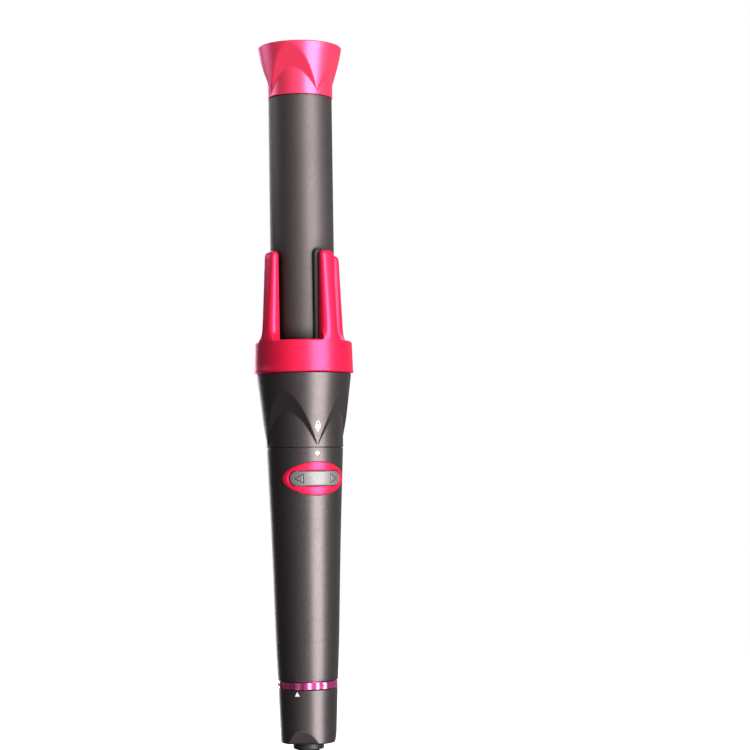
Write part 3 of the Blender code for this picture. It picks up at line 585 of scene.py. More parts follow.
# (growth of the outline, depth under the surface): rounded lip, then the window's wall
WINDOW_LIP = ((-0.05, 0.03), (-0.11, 0.10), (-0.13, 0.22), (-0.13, SLEEVE_WALL))
# (radius, z) from the shoulder up the outside of the neck and down its bore
NECK = ((19.45, SLEEVE_Z1), (19.45, SLEEVE_Z1 + 0.23), (17.8, SLEEVE_Z1 + 0.23),
        (17.8, NECK_Z1 - 0.3), (17.5, NECK_Z1), (16.4, NECK_Z1), (16.4, SLEEVE_Z1 - 1.2))


class SleeveWall:
    """Grid of vertices at a fixed depth under the handle's surface, made when first used."""

    def __init__(self, mesh, heights, depth):
        self.mesh = mesh
        self.heights = heights
        self.depth = depth
        self.verts = {}

    def vert(self, i, j):
        key = (i % COLUMNS, j)
        if key not in self.verts:
            z = self.heights[j]
            point = place(handle_radius(z) - self.depth, key[0] * COLUMN_DEG, z)
            self.verts[key] = self.mesh.verts.new(point)
        return self.verts[key]


def sleeve_heights():
    foot, shoulder = SLEEVE_Z0 + FOOT_EDGE, SLEEVE_Z1 - SHOULDER_EDGE
    stretches = ((foot, PATCH_Z0, ROWS_BELOW), (PATCH_Z0, PATCH_Z1, ROWS_BESIDE),
                 (PATCH_Z1, shoulder, ROWS_ABOVE))
    heights = [foot]
    for z0, z1, count in stretches:
        heights += [z0 + (z1 - z0) * i / count for i in range(1, count + 1)]
    return heights


PATCH_ROW0 = ROWS_BELOW
PATCH_ROW1 = ROWS_BELOW + ROWS_BESIDE


def in_patch(i, j):
    column = i if i <= COLUMNS // 2 else i - COLUMNS
    return PATCH_ROW0 <= j < PATCH_ROW1 and -WINDOW_COLUMNS <= column < WINDOW_COLUMNS


def patch_rim():
    """(column, row) round the rectangle left out for the window."""
    side, low, high = WINDOW_COLUMNS, PATCH_ROW0, PATCH_ROW1
    return ([(i, low) for i in range(-side, side)] + [(side, j) for j in range(low, high)]
            + [(i, high) for i in range(side, -side, -1)]
            + [(-side, j) for j in range(high, low, -1)])


def sleeve_window(mesh, outer, rim):
    """Fills from the rim in to the lens outline, then turns down the window's wall."""
    turns = []
    for i, j in rim:
        x, z = i * COLUMN_DEG * PER_DEG, outer.heights[j] - ROCKER_Z
        turns.append(math.atan2(z / (BEZEL_HALF_H * 1.35), x / (BEZEL_HALF_W * 1.15)))
    directions = [lens_direction(turn) for turn in turns]
    lens = [lens_at(direction, WINDOW_GAP) for direction in directions]
    previous = [outer.vert(*spot) for spot in rim]
    rows = 7
    for k in range(1, rows + 1):
        part = 1 - (1 - k / rows) ** 1.3
        ring = []
        for (i, j), (lens_angle, lens_z) in zip(rim, lens):
            angle = i * COLUMN_DEG
            height = outer.heights[j]
            z = height + (lens_z + ROCKER_Z - height) * part
            angle += (lens_angle - angle) * part
            ring.append(mesh.verts.new(place(handle_radius(z), angle, z)))
        bridge(mesh, previous, ring)
        previous = ring
    for grow, drop in WINDOW_LIP:
        ring = []
        for direction in directions:
            angle, z = lens_at(direction, WINDOW_GAP + grow)
            z += ROCKER_Z
            ring.append(mesh.verts.new(place(handle_radius(z) - drop, angle, z)))
        bridge(mesh, previous, ring)
        previous = ring
    return previous


def sleeve():
    mesh = bmesh.new()
    heights = sleeve_heights()
    last = len(heights) - 1
    outer = SleeveWall(mesh, heights, 0.0)
    for j in range(last):
        for i in range(COLUMNS):
            if not in_patch(i, j):
                mesh.faces.new((outer.vert(i, j), outer.vert(i + 1, j),
                                outer.vert(i + 1, j + 1), outer.vert(i, j + 1)))
    rim = patch_rim()
    window_foot = sleeve_window(mesh, outer, rim)

    # the inner wall has fewer rows below the window
    inner = SleeveWall(mesh, heights, SLEEVE_WALL)
    bridge(mesh, window_foot, [inner.vert(*spot) for spot in rim])
    kept = sorted({last, *range(PATCH_ROW0, PATCH_ROW1 + 1), *range(0, PATCH_ROW0, 8)})
    for low, high in zip(kept, kept[1:]):
        for i in range(COLUMNS):
            if not in_patch(i, low):
                mesh.faces.new((inner.vert(i, low), inner.vert(i, high),
                                inner.vert(i + 1, high), inner.vert(i + 1, low)))

    # rounded end rims, with the neck on the upper one
    ends = ((0, -1, FOOT_EDGE, ()), (last, 1, SHOULDER_EDGE, NECK))
    for j, way, edge, neck in ends:
        z = heights[j]
        rim_rings = [(handle_radius(z) - inset, z + way * rise)
                     for inset, rise in quarter_round(edge, (30, 60, 90))]
        previous = [outer.vert(i, j) for i in range(COLUMNS)]
        for radius, ring_z in (*rim_rings, *neck):
            ring = add_ring(mesh, circle(radius, ring_z, COLUMNS))
            bridge(mesh, previous, ring)
            previous = ring
        bridge(mesh, previous, [inner.vert(i, j) for i in range(COLUMNS)])
    finish_piece("sleeve", mesh, "satin_shell", "handle", ("handle_sleeve",), 38.0)


sleeve()


# ================================================================= bezel
# (part of the way from the opening to the rim, height over the handle), before and after the crest
BEZEL_INNER_EDGE = [(0.0, -1.7), (0.0, -0.3), (0.005, 0.10), (0.02, 0.30), (0.06, 0.45)]
BEZEL_OUTER_EDGE = [(0.94, 0.42), (0.975, 0.30), (0.993, 0.14), (1.0, -0.05), (1.0, -1.7)]


def bezel():
    count = 200
    crest = [(0.06 + 0.88 * k / 10, 0.45 + 0.13 * math.sin(math.pi * k / 10))
             for k in range(1, 10)]
    directions = [lens_direction(2 * math.pi * k / count) for k in range(count)]
    rows = []
    for part, height in BEZEL_INNER_EDGE + crest + BEZEL_OUTER_EDGE:
        row = []
        for direction in directions:
            start, end = stadium_at(direction, 0.28), lens_at(direction, -0.02)
            angle = start[0] + (end[0] - start[0]) * part
            z = start[1] + (end[1] - start[1]) * part + ROCKER_Z
            row.append(place(handle_radius(z) + height, angle, z))
        rows.append(row)
    finish_piece("bezel", loft(rows), "pink_shell", "handle",
                 ("rocker_bezel",), 45.0)


bezel()

# ================================================================= rocker key
ARROW_BASE_X, ARROW_TIP_X, ARROW_HALF_H = 7.4, 11.9, 2.3


def arrow_sides(side):
    """The three sides of an arrow outline; side is -1 for left (-x), 1 for right."""
    corners = ((side * ARROW_BASE_X, -ARROW_HALF_H), (side * ARROW_BASE_X, ARROW_HALF_H),
               (side * ARROW_TIP_X, 0.0))
    return [(corners[i], corners[(i + 1) % 3]) for i in range(3)]


ARROWS = [arrow_sides(side) for side in (-1, 1)]


def distance_to_line(x, z, start, end):
    """Distance from a point to the line between two points."""
    dx, dz = end[0] - start[0], end[1] - start[1]
    part = unit(((x - start[0]) * dx + (z - start[1]) * dz) / (dx * dx + dz * dz))
    return math.hypot(x - start[0] - part * dx, z - start[1] - part * dz)


def engraving(x, z):
    """Depth of the two outlined direction arrows at a point of the rocker face."""
    deep = 0.0
    for sides in ARROWS:
        distance = min(distance_to_line(x, z, *side) for side in sides)
        deep = max(deep, 0.16 * unit((0.30 - distance) / 0.14))
    return deep


def rocker_face(x, part):
    """Height of the key's face over the handle; part runs from centre line (0) to rim (1)."""
    crest = 0.62 + 0.10 * (1 - part * part)
    dip = 0.10 * math.exp(-(x / 4.0) ** 2)
    edge = 0.42 * max(0.0, (part - 0.80) / 0.20) ** 2.4
    return crest - dip - edge


def rocker():
    """Crowned stadium key with engraved arrows and an underside that follows the handle."""
    side_points, cap_points, face_rows = 190, 26, 30
    end = (ROCKER_HALF_DEG - 0.8) * PER_DEG - ROCKER_HALF_H
    outline = []                     # (x on the centre line, outward x, outward z)
    for way in (1, -1):
        for k in range(side_points):
            outline.append((way * (-end + 2 * end * k / side_points), 0.0, -float(way)))
        for k in range(cap_points):
            turn = -way * math.pi / 2 + math.pi * k / cap_points
            outline.append((way * end, math.cos(turn), math.sin(turn)))

    def ring(part, lift=None):
        """Ring at a part of the way out; without a lift it lies on the engraved face."""
        out = []
        for centre_x, out_x, out_z in outline:
            x, z = centre_x + out_x * ROCKER_HALF_H * part, out_z * ROCKER_HALF_H * part
            height = rocker_face(x, part) - engraving(x, z) if lift is None else lift
            radius = handle_radius(ROCKER_Z + z) + height
            out.append(place(radius, x / PER_DEG, ROCKER_Z + z))
        return out

    mesh = bmesh.new()
    rows = [ring(k / face_rows) for k in range(face_rows + 1)]
    for part, lift in ((1.0, -0.2), (1.0, -1.5), (0.6, -1.6), (0.0, -1.6)):
        rows.append(ring(part, lift))
    rings = [add_ring(mesh, row) for row in rows]
    for first, second in zip(rings, rings[1:]):
        bridge(mesh, first, second)
    # the first and last rings fold onto the centre line
    bmesh.ops.remove_doubles(mesh, verts=mesh.verts[:], dist=2e-6)
    bmesh.ops.dissolve_degenerate(mesh, edges=mesh.edges[:], dist=1e-7)
    finish_piece("rocker_key", mesh, "button", "rocker", ("rocker_button",), 60.0)


rocker()


def arrow_groove_shade(name, sides):
    """Painted shade: dark lines in the bottom of one engraved arrow, standing in for the shade in
    its grooves.
    """
    half_width, top_drop, foot_drop, steps = 0.17, 0.11, 0.30, 12
    section = ((-1, top_drop), (1, top_drop), (1, foot_drop), (-1, foot_drop))
    mesh = bmesh.new()
    for (x0, z0), (x1, z1) in sides:
        length = math.hypot(x1 - x0, z1 - z0)
        across_x = -(z1 - z0) / length * half_width
        across_z = (x1 - x0) / length * half_width
        rows = []
        for k in range(steps + 1):
            row = []
            for side, drop in section:
                x = x0 + (x1 - x0) * k / steps + side * across_x
                z = z0 + (z1 - z0) * k / steps + side * across_z
                height = rocker_face(x, min(1.0, abs(z) / ROCKER_HALF_H)) - drop
                radius = handle_radius(ROCKER_Z + z) + height
                row.append(place(radius, x / PER_DEG, ROCKER_Z + z))
            rows.append(row)
        loft(rows, "cap", mesh)
    finish_piece(name, mesh, "dark_gap", "rocker", sharp=50.0)


arrow_groove_shade("left_arrow_painted_shade", ARROWS[0])
arrow_groove_shade("right_arrow_painted_shade", ARROWS[1])

decal("alignment_dot", [disc(1.05)], lambda angle, z: handle_radius(z), "handle",
      angle=0.0, z_middle=193.9)

# ================================================================= scale ring
SCALE_Z0, SCALE_LIP_Z = span("scale_ring")
SCALE_Z1 = SLEEVE_Z0 - JOINT_GAP
SCALE_R = cad_radius("scale_ring")


def scale_band():
    """Bright band with shallow flutes round it."""
    segments, flutes, flute_depth = 480, 16.0, 0.34
    profile = rounded([(12.2, SCALE_Z0), (SCALE_R, SCALE_Z0), (SCALE_R, SCALE_Z1),
                       (13.5, SCALE_Z1), (13.5, SCALE_LIP_Z), (12.2, SCALE_LIP_Z)],
                      [0, 0.35, 0.35, 0, 0.2, 0.2])
    rows = []
    for radius, z in profile:
        depth = flute_depth if radius > SCALE_R - 0.4 else 0.0
        row = []
        for i in range(segments):
            angle = 360.0 * i / segments
            flute = 0.5 - 0.5 * math.cos(math.radians(flutes * angle))
            row.append(place(radius - depth * flute, angle, z))
        rows.append(row)
    finish_piece("scale_band", loft(rows), "pink_chrome", "handle",
                 ("scale_ring",))


def scale_ticks():
    """Thirteen ticks; every third one is longer and wider."""
    for n in range(13):
        k = n - 6
        width, half_height = (0.22, 0.55) if k % 3 else (0.42, 1.0)
        decal("scale_tick_%02d" % n, [bar(-width / 2, width / 2, -half_height, half_height)],
              lambda angle, z: SCALE_R, "handle", angle=-27.0 + k * 13.0,
              z_middle=(SCALE_Z0 + SCALE_Z1) / 2, proud=0.02, depth=0.22,
              material="mark_dark")


scale_band()
scale_ticks()

# ================================================================= dial
DIAL_Z0, DIAL_Z1 = span("dial_cap")[0], SCALE_Z0 - JOINT_GAP
DIAL_R0, DIAL_R1 = 14.35, 15.4       # radius at the foot and at the top


def dial_radius(angle, z):
    """Widening cone with three flats."""
    height = z - DIAL_Z0
    radius = DIAL_R0 + (DIAL_R1 - DIAL_R0) * height / (DIAL_Z1 - DIAL_Z0)
    for k in range(3):
        c = math.cos(math.radians(angle + 31.5 - 120.0 * k))
        if c > 0.3:
            radius = soft_min(radius, (11.75 + 0.41 * height) / c, 0.10)
    return radius


def dial():
    foot_edge, top_edge, steps = 0.7, 0.3, 60
    wall_z0, wall_z1 = DIAL_Z0 + foot_edge, DIAL_Z1 - top_edge
    rows = []
    for inset, rise in quarter_round(foot_edge, (90, 67, 45, 22, 0)):
        rows.append(shaped_ring(dial_radius, wall_z0 - rise, SEGMENTS, inset))
    for k in range(1, steps + 1):
        z = wall_z0 + (wall_z1 - wall_z0) * k / steps
        rows.append(shaped_ring(dial_radius, z, SEGMENTS))
    for inset, rise in quarter_round(top_edge, (30, 60, 90)):
        rows.append(circle(DIAL_R1 - inset, wall_z1 + rise))
    # (radius, z) of the spigot on top, then down the bore
    for radius, z in ((11.9, DIAL_Z1), (11.9, DIAL_Z1 + 2.6), (10.6, DIAL_Z1 + 2.6),
                      (10.6, DIAL_Z0 + 4.0), (8.3, DIAL_Z0 + 4.0), (8.3, DIAL_Z0 + 0.3),
                      (8.6, DIAL_Z0)):
        rows.append(circle(radius, z))
    finish_piece("end_dial", loft(rows), "satin_shell", "dial",
                 ("dial_cap",), 38.0)


dial()
decal("dial_pointer", [wedge(half_low=1.304, half_high=0.004, z0=-1.15, z1=1.2, steps=12)],
      dial_radius, "dial", angle=-40.0, z_middle=70.9)

# ================================================================= cord end
HUB_Z0, HUB_Z1 = span("swivel_hub")
HUB_FLANGE_Z = HUB_Z1 - 2.0
turned("cord_hub",
       rounded([(3.6, HUB_Z0), (8.0, HUB_Z0), (8.0, HUB_FLANGE_Z), (9.4, HUB_FLANGE_Z),
                (9.4, HUB_Z1), (3.6, HUB_Z1)], [0.2, 0.9, 0.1, 0.2, 0.2, 0.2]),
       "black_plastic", "cord", ("swivel_hub",), step=2.0)


def relief():
    """Ribbed rubber sleeve whose ribs are cut by slots on alternate sides."""
    z0, z1 = span("strain_relief")
    segments, steps, bore = 96, 150, 3.45
    pitch, slot_depth = 2.45, 0.75
    slots_z0, slots_z1 = z0 + 1.0, z1 - 3.0
    rows = [circle(bore, z0 + 0.2, segments), circle(3.55, z0, segments),
            circle(3.9, z0, segments)]
    for k in range(steps + 1):
        z = z0 + 0.3 + (z1 - z0 - 0.5) * k / steps
        radius = 3.85 + 1.75 * ((z - z0) / (z1 - z0)) ** 1.1
        band, within = divmod((z - slots_z0) / pitch, 1.0)
        groove = unit((0.30 - abs(within - 0.5)) / 0.10) if slots_z0 < z < slots_z1 else 0.0
        row = []
        for i in range(segments):
            angle = 360.0 * i / segments
            side = abs(math.sin(math.radians(angle + 90.0 * (band % 2))))
            depth = slot_depth * groove * unit((side - 0.22) / 0.12)
            row.append(place(radius - depth, angle, z))
        rows.append(row)
    rows += [circle(5.55, z1, segments), circle(bore, z1, segments)]
    finish_piece("cord_relief", loft(rows), "cord_rubber", "cord",
                 ("strain_relief",), 50.0)


relief()

CORD_Z0, CORD_Z1 = span("power_cord")
CORD_R = 3.1
turned("cord",
       rounded([(0, CORD_Z0), (CORD_R, CORD_Z0), (CORD_R, CORD_Z1), (0, CORD_Z1)],
               [0, 0.25, 0.2, 0]),
       "cord_rubber", "cord", ("power_cord",), segments=96, step=1.5)


# ================================================================= lock ring
def faceted_radius(angle, z, turn, z0, z1, r0, r1, flat, flat_slope, blend):
    """Cone from r0 at z0 to r1 at z1 with four flats, turned by an angle; flat is their
    distance from the axis at z0.  The radius stays at or above r0."""
    height = z - z0
    radius = r0 + (r1 - r0) * height / (z1 - z0)
    for k in range(4):
        c = math.cos(math.radians(angle - turn - 45.0 - 90.0 * k))
        if c > 0.3:
            radius = soft_min(radius, (flat + flat_slope * height) / c, blend)
    return soft_max(r0, radius, blend)


def faceted_rows(radius_of, z0, z1, foot_edge, foot_angles, top_edge, top_angles, steps):
    """Rings up a faceted wall with rounded foot and top edges."""
    wall_z0, wall_z1 = z0 + foot_edge, z1 - top_edge
    rows = [shaped_ring(radius_of, wall_z0, FACET_SEGMENTS, inset, -rise)
            for inset, rise in quarter_round(foot_edge, foot_angles)]
    rows += [shaped_ring(radius_of, wall_z0 + (wall_z1 - wall_z0) * k / steps, FACET_SEGMENTS)
             for k in range(steps + 1)]
    rows += [shaped_ring(radius_of, wall_z1, FACET_SEGMENTS, inset, rise)
             for inset, rise in quarter_round(top_edge, top_angles)]
    return rows


def lock_radius(angle, z):
    return faceted_radius(angle, z, turn=0.0, z0=LOCK_Z0, z1=LOCK_Z1, r0=20.1, r1=24.8,
                          flat=14.06, flat_slope=0.336, blend=0.10)


def lock_ring():
    bore = 18.15
    rows = faceted_rows(lock_radius, LOCK_Z0, LOCK_Z1, foot_edge=0.25, foot_angles=(90, 60, 30),
                        top_edge=0.25, top_angles=(30, 60, 90), steps=150)
    rows += [circle(bore, z, FACET_SEGMENTS) for z in (LOCK_Z1, LOCK_Z0)]
    finish_piece("twist_lock", loft(rows), "satin_shell", "lock",
                 ("lock_ring",), 38.0)


def padlock(opened):
    """Padlock icon; the open one is lifted and has only its left leg."""
    inner, outer = 0.62, 1.02        # radii of the shackle
    shackle_z = 1.2 + (0.55 if opened else 0.0)
    strips = [bar(-1.35, 1.35, -1.6, 0.5), arch(inner, outer, shackle_z),
              bar(-outer, -inner, 0.45, shackle_z + 0.02, steps=2)]
    if not opened:
        strips.append(bar(inner, outer, 0.45, shackle_z + 0.02, steps=2))
    return strips


lock_ring()
LOCK_ICON_Z = 208.1
decal("lock_icon_closed", padlock(False), lock_radius, "lock",
      angle=0.0, z_middle=LOCK_ICON_Z, proud=0.05)
decal("lock_pointer", [wedge(half_low=0.02, half_high=1.02, z0=0.0, z1=0.9, steps=6)],
      lock_radius, "lock", angle=0.0, z_middle=204.9, proud=0.05)
decal("lock_icon_open", padlock(True), lock_radius, "lock",
      angle=-90.0, z_middle=LOCK_ICON_Z, proud=0.05)

# ================================================================= crown with four prongs
CROWN_Z0 = LOCK_Z1 + JOINT_GAP
COLLAR_CAD_Z0, COLLAR_TOP = span("prong_collar")
RING_Z1 = COLLAR_CAD_Z0 + 13.5       # top of the ring, from the collar that sits in it
CROWN_TOP = span("crown_shell")[1]
LIP_TOP = CROWN_Z0 + 1.7
PRONG_PITCH, PRONG_TURN = 90.0, 19.0
PRONG_HALF_DEG = 12.7                # half width at the ring
WINDOW_COLS, PRONG_COLS = 46, 14     # mesh columns across a window and a prong
PRONG_BORE = 19.05
RING_EDGE = 1.1                      # rounding of the ring's top outer edge, between the prongs
RING_FOOT_EDGE = 0.95                # rounding of its lower outer edge
PRONG_END = 2.6                      # rounding of the prongs' ends
CORNER_COLS = 5                      # columns round each outer corner of a prong
# (radius, z) down the inside of the ring, under the prongs' inner face
CROWN_BORE = ((17.5, 241.0), (17.5, 238.4), (16.4, 238.4), (16.4, 225.0), (17.6, 225.0),
              (17.6, CROWN_Z0))


def crown_radius(z):
    """Outer radius: lip at the foot, gently tapered ring, and prongs in one sweep."""
    if z < LIP_TOP:
        return 26.0
    if z < RING_Z1:
        return 25.88 - 0.48 * (z - LIP_TOP) / (RING_Z1 - LIP_TOP)
    return 25.4 - 3.1 * ((z - RING_Z1) / (CROWN_TOP - RING_Z1)) ** 0.95


def crown_ring_heights():
    edge_z = RING_Z1 - RING_EDGE
    foot = [CROWN_Z0 + RING_FOOT_EDGE * (1.0 - math.sin(math.radians(angle)))
            for angle in (90, 72, 55, 38, 20, 0)]
    wall = [CROWN_Z0 + 1.2, CROWN_Z0 + 1.6, CROWN_Z0 + 1.9, 240.5, 243.0, 245.5, 248.0, edge_z]
    top = [edge_z + RING_EDGE * math.sin(math.radians(angle)) for angle in (20, 40, 58, 74, 90)]
    return foot + wall + top


def crown_columns():
    """(angle, distance from the nearest prong's side or None on a prong) round the ring."""
    window_deg = PRONG_PITCH - 2 * PRONG_HALF_DEG
    columns = []
    for p in range(4):
        start = PRONG_TURN + PRONG_PITCH * p - PRONG_HALF_DEG
        for k in range(PRONG_COLS):
            columns.append((start + 2 * PRONG_HALF_DEG * k / PRONG_COLS, None))
        start += 2 * PRONG_HALF_DEG
        for k in range(WINDOW_COLS):
            across = window_deg * k / WINDOW_COLS
            columns.append((start + across, min(across, window_deg - across)))
    return columns


def crown_ring_row(columns, z):
    low = round_drop(RING_FOOT_EDGE, CROWN_Z0 + RING_FOOT_EDGE - z)
    drop = round_drop(RING_EDGE, z - (RING_Z1 - RING_EDGE))
    row = []
    for angle, away in columns:
        fade = 0.0 if away is None else smooth_step(away / 4.2)
        row.append(place(crown_radius(z) - low - drop * fade, angle, z))
    return row


def prong_rows(centre, z):
    """Outer and inner points across a prong at a height."""
    trim = round_drop(PRONG_END, z - (CROWN_TOP - PRONG_END))
    half = PRONG_HALF_DEG - (z - RING_Z1) / (CROWN_TOP - RING_Z1)
    half -= math.degrees(min(trim, 2.0) / 22.0)
    face = crown_radius(z) - min(trim, 2.2) * 0.95
    half_width = math.radians(half) * 22.5
    corner = min(0.62 * (face - PRONG_BORE), 0.72 * half_width)
    # the square section at the ring blends into one with rounded outer corners
    blend = smooth_step((z - RING_Z1) / 7.0)
    outer, inner = [], []
    for k in range(PRONG_COLS + 1):
        from_side = min(k, PRONG_COLS - k)
        if from_side <= CORNER_COLS:
            turn = math.radians(90.0 * from_side / CORNER_COLS)
            x = -half_width + corner * (1 - math.cos(turn))
            radius = face - corner * (1 - math.sin(turn))
        else:
            part = (from_side - CORNER_COLS) / (PRONG_COLS / 2 - CORNER_COLS)
            x, radius = (-half_width + corner) * (1 - part), face
        if k > from_side:
            x = -x
        x = x * blend + (-half_width + 2 * half_width * k / PRONG_COLS) * (1 - blend)
        radius = radius * blend + face * (1 - blend)
        outer.append(place(radius, centre + half * x / half_width, z))
        inner.append(place(PRONG_BORE, centre - half + 2 * half * k / PRONG_COLS, z))
    return outer, inner


def prong(mesh, centre, outer, inner):
    """Grows one prong from its outer and inner vertices on top of the ring."""
    steps = 22
    wall_top = CROWN_TOP - 2.4
    levels = [RING_Z1 + (wall_top - RING_Z1) * k / steps for k in range(1, steps + 1)]
    levels += [CROWN_TOP - below for below in (1.7, 1.1, 0.6, 0.25, 0.06, 0.0)]
    for z in levels:
        next_outer, next_inner = (add_ring(mesh, row) for row in prong_rows(centre, z))
        for k in range(PRONG_COLS):
            mesh.faces.new((outer[k], outer[k + 1], next_outer[k + 1], next_outer[k]))
            mesh.faces.new((inner[k + 1], inner[k], next_inner[k], next_inner[k + 1]))
        for k in (0, PRONG_COLS):
            mesh.faces.new((inner[k], outer[k], next_outer[k], next_inner[k]))
        outer, inner = next_outer, next_inner
    for k in range(PRONG_COLS):
        mesh.faces.new((outer[k], outer[k + 1], inner[k + 1], inner[k]))


def crown():
    mesh = bmesh.new()
    columns = crown_columns()
    count = len(columns)
    outer = [add_ring(mesh, crown_ring_row(columns, z)) for z in crown_ring_heights()]
    for first, second in zip(outer, outer[1:]):
        bridge(mesh, first, second)
    inside = ((PRONG_BORE, RING_Z1), (PRONG_BORE, 241.0), *CROWN_BORE)
    inner = [add_ring(mesh, [place(radius, angle, z) for angle, _ in columns])
             for radius, z in inside]
    for first, second in zip(inner, inner[1:] + [outer[0]]):
        bridge(mesh, first, second)
    top_out, top_in = outer[-1], inner[0]
    for i in range(count):
        if columns[i][1] is not None:
            j = (i + 1) % count
            mesh.faces.new((top_out[i], top_out[j], top_in[j], top_in[i]))
    for p in range(4):
        first = p * (PRONG_COLS + WINDOW_COLS)
        across = range(first, first + PRONG_COLS + 1)
        prong(mesh, PRONG_TURN + PRONG_PITCH * p,
              [top_out[i] for i in across], [top_in[i] for i in across])
    piece = finish_piece("crown", mesh, "pink_shell", "crown", ("crown_shell",))
    bevel = piece.modifiers.new("edges", "BEVEL")
    bevel.width = 0.4 * MM
    bevel.segments = 3
    bevel.limit_method = "ANGLE"
    bevel.angle_limit = math.radians(40)
    bevel.harden_normals = False


crown()

# ================================================================= barrel
TUBE_Z0, TUBE_Z1 = span("barrel_tube")
TUBE_R = cad_radius("barrel_tube")
TUBE_BORE = TUBE_R - 1.0
turned("tube",
       rounded([(TUBE_BORE, TUBE_Z0), (TUBE_R, TUBE_Z0), (TUBE_R, TUBE_Z1),
                (TUBE_BORE, TUBE_Z1)], [0, 0.25, 0.2, 0]),
       "barrel_coat", "barrel", ("barrel_tube",), step=3.0)

TIP_Z0, TIP_Z1 = TUBE_Z1 + JOINT_GAP, span("barrel_tip")[1]


def tip_radius(angle, z):
    return faceted_radius(angle, z, turn=12.0, z0=TIP_Z0, z1=TIP_Z1, r0=17.1, r1=22.2,
                          flat=11.485, flat_slope=0.412, blend=0.24)


def tip():
    """Faceted end piece with a plug that goes down into the tube."""
    plug = ((13.5, 402.0), (13.5, 373.0), (15.3, 373.0), (15.3, TIP_Z0))      # (radius, z)
    face_z = TIP_Z1 - 0.12
    top = ((20.6, TIP_Z1), (18.9, TIP_Z1), (18.6, face_z), (9.0, face_z), (3.0, face_z))
    rows = [circle(radius, z, FACET_SEGMENTS) for radius, z in plug]
    rows += faceted_rows(tip_radius, TIP_Z0, TIP_Z1, foot_edge=0.25, foot_angles=(90, 45),
                         top_edge=0.7, top_angles=(20, 40, 60, 75, 90), steps=120)
    rows += [circle(radius, z, FACET_SEGMENTS) for radius, z in top]
    finish_piece("tip", loft(rows, "cap"), "pink_tip", "barrel",
                 ("barrel_tip",), 38.0)


tip()

COLLAR_Z0, COLLAR_Z1 = 238.7, TUBE_Z0 - JOINT_GAP
COLLAR_R = 17.2


def collar():
    """Keyed ring under the barrel with its one tall dark prong, as one mesh."""
    mesh = bmesh.new()
    profile = rounded([(15.65, COLLAR_Z0), (COLLAR_R, COLLAR_Z0), (COLLAR_R, COLLAR_Z1),
                       (15.65, COLLAR_Z1)], [0.1, 0.4, 0.4, 0.1])
    loft([circle(radius, z) for radius, z in dense(profile, 2.0)], "loop", mesh)

    centre, half_deg, end_round = 9.0, 9.0, 2.7
    foot, wall_top = 242.0, COLLAR_TOP - end_round
    heights = [241.6] + [foot + (wall_top - foot) * k / 30 for k in range(31)]
    heights += [COLLAR_TOP - below for below in (1.9, 1.1, 0.5, 0.0)]
    rows = []
    for z in heights:
        past = max(0.0, z - wall_top)
        half = half_deg - math.degrees(round_drop(end_round, past) / 17.0)
        face = 18.55 - 0.3 * (past / end_round) ** 2
        back = COLLAR_R if z > TUBE_Z0 - 0.4 else 16.4
        parts = [2 * k / 12 for k in range(13)]
        row = [place(face - 0.45 * abs(part - 1) ** 6, centre - half + half * part, z)
               for part in parts]
        row += [place(back, centre + half - half * part, z) for part in parts]
        rows.append(row)
    loft(rows, "cap", mesh)
    finish_piece("keyed_collar", mesh, "prong_dark", "barrel",
                 ("prong_collar",))


collar()

# ----- boss under the barrel, with a conical foot
BOSS_Z0, BOSS_Z1 = span("barrel_base")
BOSS_R0, BOSS_R1 = 11.3, 13.3
CONE_Z0, CONE_Z1 = 232.3, 237.8
turned("boss",
       rounded([(0, BOSS_Z0), (BOSS_R0, BOSS_Z0), (BOSS_R1, CONE_Z1), (BOSS_R1, 238.4),
                (15.2, COLLAR_Z0), (15.2, BOSS_Z1), (12.4, BOSS_Z1), (12.4, 243.0), (0, 243.0)],
               [0, 0.5, 0.3, 0.2, 0.1, 0.1, 0.1, 0.1, 0]),
       "grey_plastic", "barrel", ("barrel_base",), step=1.5)


def cone_radius(angle, z):
    return BOSS_R0 + (BOSS_R1 - BOSS_R0) * (z - CONE_Z0) / (CONE_Z1 - CONE_Z0)


decal("boss_mark", [bar(-1.2, 1.2, -2.0, 2.0)], cone_radius, "barrel",
      angle=9.0, z_middle=235.2, proud=0.04)

# ----- plug shaft with a groove, and the contact disc
PLUG_Z0, PLUG_Z1 = span("plug_shaft")
PLUG_R, GROOVE_R = 3.5, 2.9
turned("plug",
       rounded([(0, PLUG_Z0), (PLUG_R, PLUG_Z0), (PLUG_R, PLUG_Z0 + 5.0),
                (GROOVE_R, PLUG_Z0 + 5.5), (GROOVE_R, PLUG_Z0 + 7.0), (PLUG_R, PLUG_Z0 + 7.5),
                (PLUG_R, PLUG_Z1), (0, PLUG_Z1)], [0, 0.5, 0.15, 0.15, 0.15, 0.15, 0.1, 0]),
       "steel", "barrel", ("plug_shaft",), segments=96, step=1.0)
DISC_Z0, DISC_Z1 = span("contact_disc")
turned("contact_plate",
       rounded([(4.0, DISC_Z0), (10.6, DISC_Z0), (10.6, DISC_Z1), (4.0, DISC_Z1)], 0.2),
       "brass", "barrel", ("contact_disc",), segments=120, step=1.0)

# ================================================================= floor
CAMERA_YAW = -19.0                   # the camera stands to the left (-x) of the controls


